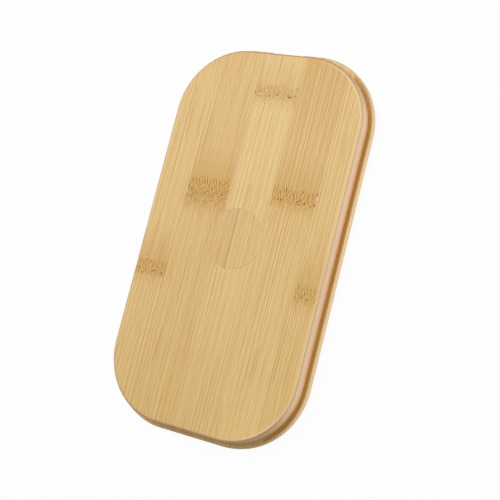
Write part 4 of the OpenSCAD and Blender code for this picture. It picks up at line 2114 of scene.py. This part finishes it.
@dataclass
class CoilStack:
    """Coil, solder, tape, ferrite and foam.

    Attributes:
        wire: radius of the wire.
        pitch: distance between turns.
        first: radius at which the coil starts.
        turns: turns of the coil.
        step: length between points along the wire.
        lay: length of wire in which the strands twist once.
        strands: strands round the wire's core.
        slot_wide: width of the slot for the inner lead.
        mound_flare: where the foot of a solder mound ends, as shares of its radius and height.
        mound_waist: where its dome starts, as shares of both.
        mound_tip: share of its radius at the top.
        foam_swell: how far the pressed foam's side swells.
        foam_fill: how tightly the foam is filled, from 0 to 1; not used.
        foam_steps: segments round the foam.
        foam_levels: segments from its lower to its upper face.
    """

    wire: float = 0.55 * MM
    pitch: float = 1.2 * MM
    first: float = 10.5 * MM
    turns: float = 9.5
    step: float = 1.0 * MM
    lay: float = 14 * MM
    strands: int = 6
    slot_wide: float = 1.5 * MM
    mound_flare: Point = (0.92, 0.1)
    mound_waist: Point = (0.88, 0.25)
    mound_tip: float = 0.05
    foam_swell: float = 0.1 * MM
    foam_fill: float = 0.9
    foam_steps: int = 120
    foam_levels: int = 8

    COPPER = Metal("coil_copper", srgb(196, 122, 72), srgb(160, 86, 46), rough=0.32, size=0.5)
    TINNED = Metal("solder_tin", srgb(190, 191, 194), srgb(160, 161, 165), rough=0.34, size=0.4)
    FOAM = Grained("foam_dark", srgb(26, 26, 27), srgb(62, 62, 63), grain=0.25, rough=0.9, depth=0.12)
    PAPER = Grained(
        "adhesive_tape", srgb(196, 180, 132), srgb(222, 208, 164), grain=0.3, rough=0.5, depth=0.004
    )
    FERRITE = Grained(
        "ferrite_grey", srgb(44, 44, 47), srgb(70, 70, 74), grain=0.2, rough=0.6, depth=0.01
    )

    def build(self) -> None:
        """Builds the coil, its solder and the foam, and finishes what lies between them."""
        self.build_coil()
        self.build_solder()
        self.build_foam()
        coat("coil_tape", self.PAPER)
        coat("ferrite_disc", self.FERRITE)

    def _path(self) -> list[Vector]:
        """Follows the wire from one end of the board's leads to the other.

        Returns:
            The points of the inner lead, the spiral and the outer lead.
        """
        span = Span.of("charging_coil")
        top = span.high.z - self.wire
        low = span.low.z + self.wire
        centre = self.pitch / 4
        start = centre + self.first
        end = span.low.x + self.wire
        crank = Span.of("ferrite_disc").high.y
        inner = self._lead(start, 0.0, span.high.y, top, low)
        outer = self._lead(end, crank, span.high.y, top, low)
        spread = -end + centre - self.first
        middle = self.first + spread / 2
        count = round(2 * math.pi * self.turns * middle / self.step)
        spiral = []
        for i in range(count + 1):
            angle = -2 * math.pi * self.turns * i / count
            radius = self.first + spread * i / count
            spiral.append(Vector((centre + radius * math.cos(angle), radius * math.sin(angle), top)))
        straight = [Vector((end, y * self.step, top)) for y in range(1, int(crank / self.step))]
        return [*reversed(inner), *spiral[1:], *straight, *outer]

    def _lead(self, x: float, start: float, end: float, top: float, low: float) -> list[Vector]:
        """Cranks the wire down and runs it on to the board.

        Args:
            x: place of the lead across the pad.
            start: where along Y it starts to bend.
            end: where it ends.
            top: height of the coil.
            low: height of the lead.

        Returns:
            The lead's points, from the coil outwards.
        """
        bend = (top - low) / 2
        arcs = [step * math.pi / 8 for step in range(5)]
        down = [Vector((x, start + bend * math.sin(a), top - bend + bend * math.cos(a))) for a in arcs]
        run = start + 2 * bend
        turns = list(reversed(arcs))
        level = [Vector((x, run - bend * math.sin(a), low + bend - bend * math.cos(a))) for a in turns]
        count = round((end - run) / self.step)
        on = [Vector((x, run + (end - run) * i / count, low)) for i in range(1, count + 1)]
        return [*down, *level[1:], *on]

    def build_coil(self) -> None:
        """Winds the coil of twisted copper strands."""
        path = self._path()
        piece = threaded("wound_coil", path, [(i, i + 1) for i in range(len(path) - 1)])
        values = {
            "Wire radius": self.wire, "Outer strands": self.strands,
            "Twist": 2 * math.pi * self.step / self.lay, "Finish": self.COPPER.material(),
        }
        strand_sweep().run(piece, values, sharp=60.0)
        dress(piece, self.COPPER, "charging_coil")

    def build_solder(self) -> None:
        """Builds the mounds of solder over the ends of the leads, flared at the foot."""
        made = MeshMaker()
        waist, shoulder = self.mound_waist
        turns = [math.radians(degrees) for degrees in range(0, 90, 12)]
        dome = [(waist * math.cos(a), shoulder + (1 - shoulder) * math.sin(a)) for a in turns]
        shares = [(1.0, 0.0), self.mound_flare, *dome, (self.mound_tip, 1.0)]
        for span in islands("coil_solder"):
            profile = [(wide * span.size.x / 2, high * span.size.z) for wide, high in shares]
            made.lathe(profile, steps=32, at=span.foot)
        dress(made.piece("solder_mounds"), self.TINNED, "coil_solder")

    def _foam_loop(self, span: Span, grow: float) -> list[Point]:
        """Walks round the foam disc and in and out of its slot.

        Args:
            span: the foam's box.
            grow: how far the foam has swollen.

        Returns:
            The loop's points, anticlockwise.
        """
        radius = span.size.x / 2 + grow
        middle = self.first + self.pitch / 4
        left = middle - self.slot_wide / 2 + grow
        right = middle + self.slot_wide / 2 - grow
        first = math.acos(left / radius)
        last = math.acos(right / radius) + 2 * math.pi
        angles = [first + (last - first) * i / self.foam_steps for i in range(self.foam_steps + 1)]
        bottom = grow - self.slot_wide / 2
        round_side = [(radius * math.cos(a), radius * math.sin(a)) for a in angles]
        return [*round_side, (right, bottom), (left, bottom)]

    def build_foam(self) -> None:
        """Builds the die-cut foam pad, pressed flat above and below and swollen round its side."""
        span = Span.of("foam_pad")
        rings = []
        for i in range(self.foam_levels + 1):
            angle = math.pi * i / self.foam_levels
            z = span.low.z + span.size.z * (1 - math.cos(angle)) / 2
            grow = self.foam_swell * (2 * math.sin(angle) - 1)
            rings.append([Vector((x, y, z)) for x, y in self._foam_loop(span, grow)])
        piece = MeshMaker().loft(rings).piece("foam_cushion")
        dress(piece, self.FOAM, "foam_pad")


@dataclass(frozen=True)
class Lamp:
    """Square studio lamp that faces the object.

    Attributes:
        name: its name.
        place: its place.
        size: its width.
        power: its power in watts.
    """

    name: str
    place: Place
    size: float
    power: float

    def build(self) -> None:
        """Adds the lamp."""
        data = bpy.data.lights.new(self.name, "AREA")
        data.size = self.size
        data.energy = self.power
        lamp = placed(self.name, data)
        lamp.location = self.place
        lamp.rotation_euler = (-Vector(self.place)).to_track_quat("-Z", "Y").to_euler()


@dataclass
class Studio:
    """White floor, soft lamps and the camera of the photograph.

    Attributes:
        eye: place of the camera.
        target: point that the camera looks at.
        roll: turn of the camera about its own axis, in degrees.
        lens: focal length, in millimetres.
        sensor: width of the camera's sensor, in millimetres.
        nearest: distance from which the camera sees.
        ambient: strength of the light from all round.
        floor_half: half the width of the floor.
        floor_level: height of the floor, a hair below the feet.
        whiteness: share of plain white in what the camera sees of the floor.
        lamps: the lamps.
    """

    eye: Place = (0.19024, -0.04352, 0.36072)
    target: Place = (0.00804, -0.00314, 0.00956)
    roll: float = -64.56
    lens: float = 74.64
    sensor: float = 36.0
    nearest: float = 10 * MM
    ambient: float = 0.28
    floor_half: float = 4.0
    floor_level: float = -0.02 * MM
    whiteness: float = 0.95
    lamps: tuple[Lamp, ...] = (
        Lamp("key_lamp", (-1.3, 0.5, 1.9), size=1.0, power=19.2),
        Lamp("end_lamp", (-0.10, 0.20, 0.50), size=0.25, power=0.85),
        Lamp("fill_lamp", (0.42, 0.06, 0.075), size=0.20, power=0.80),
    )

    FLOOR = (0.9, 0.9, 0.9, 1.0)

    def build(self) -> None:
        """Sets the whole studio up."""
        bpy.context.scene.view_settings.view_transform = "Standard"
        self.build_camera()
        self.build_world()
        self.build_floor()
        for lamp in self.lamps:
            lamp.build()

    def build_camera(self) -> None:
        """Adds the camera."""
        data = bpy.data.cameras.new("camera")
        data.sensor_width = self.sensor
        data.lens = self.lens
        data.clip_start = self.nearest
        camera = placed("camera", data)
        look = Vector(self.target) - Vector(self.eye)
        aim = look.to_track_quat("-Z", "Y").to_matrix().to_4x4()
        roll = Matrix.Rotation(math.radians(self.roll), 4, "Z")
        camera.matrix_world = Matrix.Translation(self.eye) @ aim @ roll
        bpy.context.scene.camera = camera

    @staticmethod
    def _shown(
        tree: TreeBuilder, share: float, lit: bpy.types.Node, white: bpy.types.Node
    ) -> bpy.types.NodeSocket:
        """Shows white to the camera, mirrors and glass, and something else to rays that light the object.

        Args:
            tree: the tree.
            share: share of white in what they see.
            lit: shader for the other rays.
            white: shader of plain white.

        Returns:
            The mixed shader.
        """
        path = tree.node("ShaderNodeLightPath").outputs
        kinds = ("Is Camera Ray", "Is Glossy Ray", "Is Transmission Ray")
        camera, glossy, through = (Signal(tree, path[kind]) for kind in kinds)
        factor = share * camera.high(glossy).high(through)
        sockets = {0: factor, 1: lit.outputs[0], 2: white.outputs[0]}
        return tree.node("ShaderNodeMixShader", sockets).outputs[0]

    def build_world(self) -> None:
        """Lights evenly from all round, and shows as white."""
        world = bpy.data.worlds.new("studio")
        world.use_nodes = True
        bpy.context.scene.world = world
        tree = TreeBuilder(world.node_tree)
        lit, white = (
            tree.node("ShaderNodeBackground", {"Color": WHITE, "Strength": strength})
            for strength in (self.ambient, 1.0)
        )
        tree.node("ShaderNodeOutputWorld", {"Surface": self._shown(tree, 1.0, lit, white)})

    def build_floor(self) -> None:
        """Adds the floor, white where nothing shades it."""
        half = self.floor_half
        made = MeshMaker()
        corners = ((-half, -half), (half, -half), (half, half), (-half, half))
        made.face([made.bm.verts.new((x, y, self.floor_level)) for x, y in corners])
        floor = made.piece("floor")
        shade = Shade("floor_white")
        shade.set(Base_Color=self.FLOOR, Roughness=0.9, Specular_IOR_Level=0.0)
        white = shade.node("ShaderNodeEmission", {"Color": WHITE, "Strength": 1.0})
        mixed = self._shown(shade, self.whiteness, shade.surface, white)
        shade.feed(shade.output.inputs["Surface"], mixed)
        floor.data.materials.append(shade.material)


def main() -> None:
    """Builds the pad and the studio."""
    logging.basicConfig(level=logging.INFO, format="%(message)s")
    outside = (Studio(), BambooShell(), Feet(), Fasteners())
    for assembly in (*outside, Port(), StatusLight(), Board(), CoilStack()):
        assembly.build()


if __name__ == "__main__":
    main()
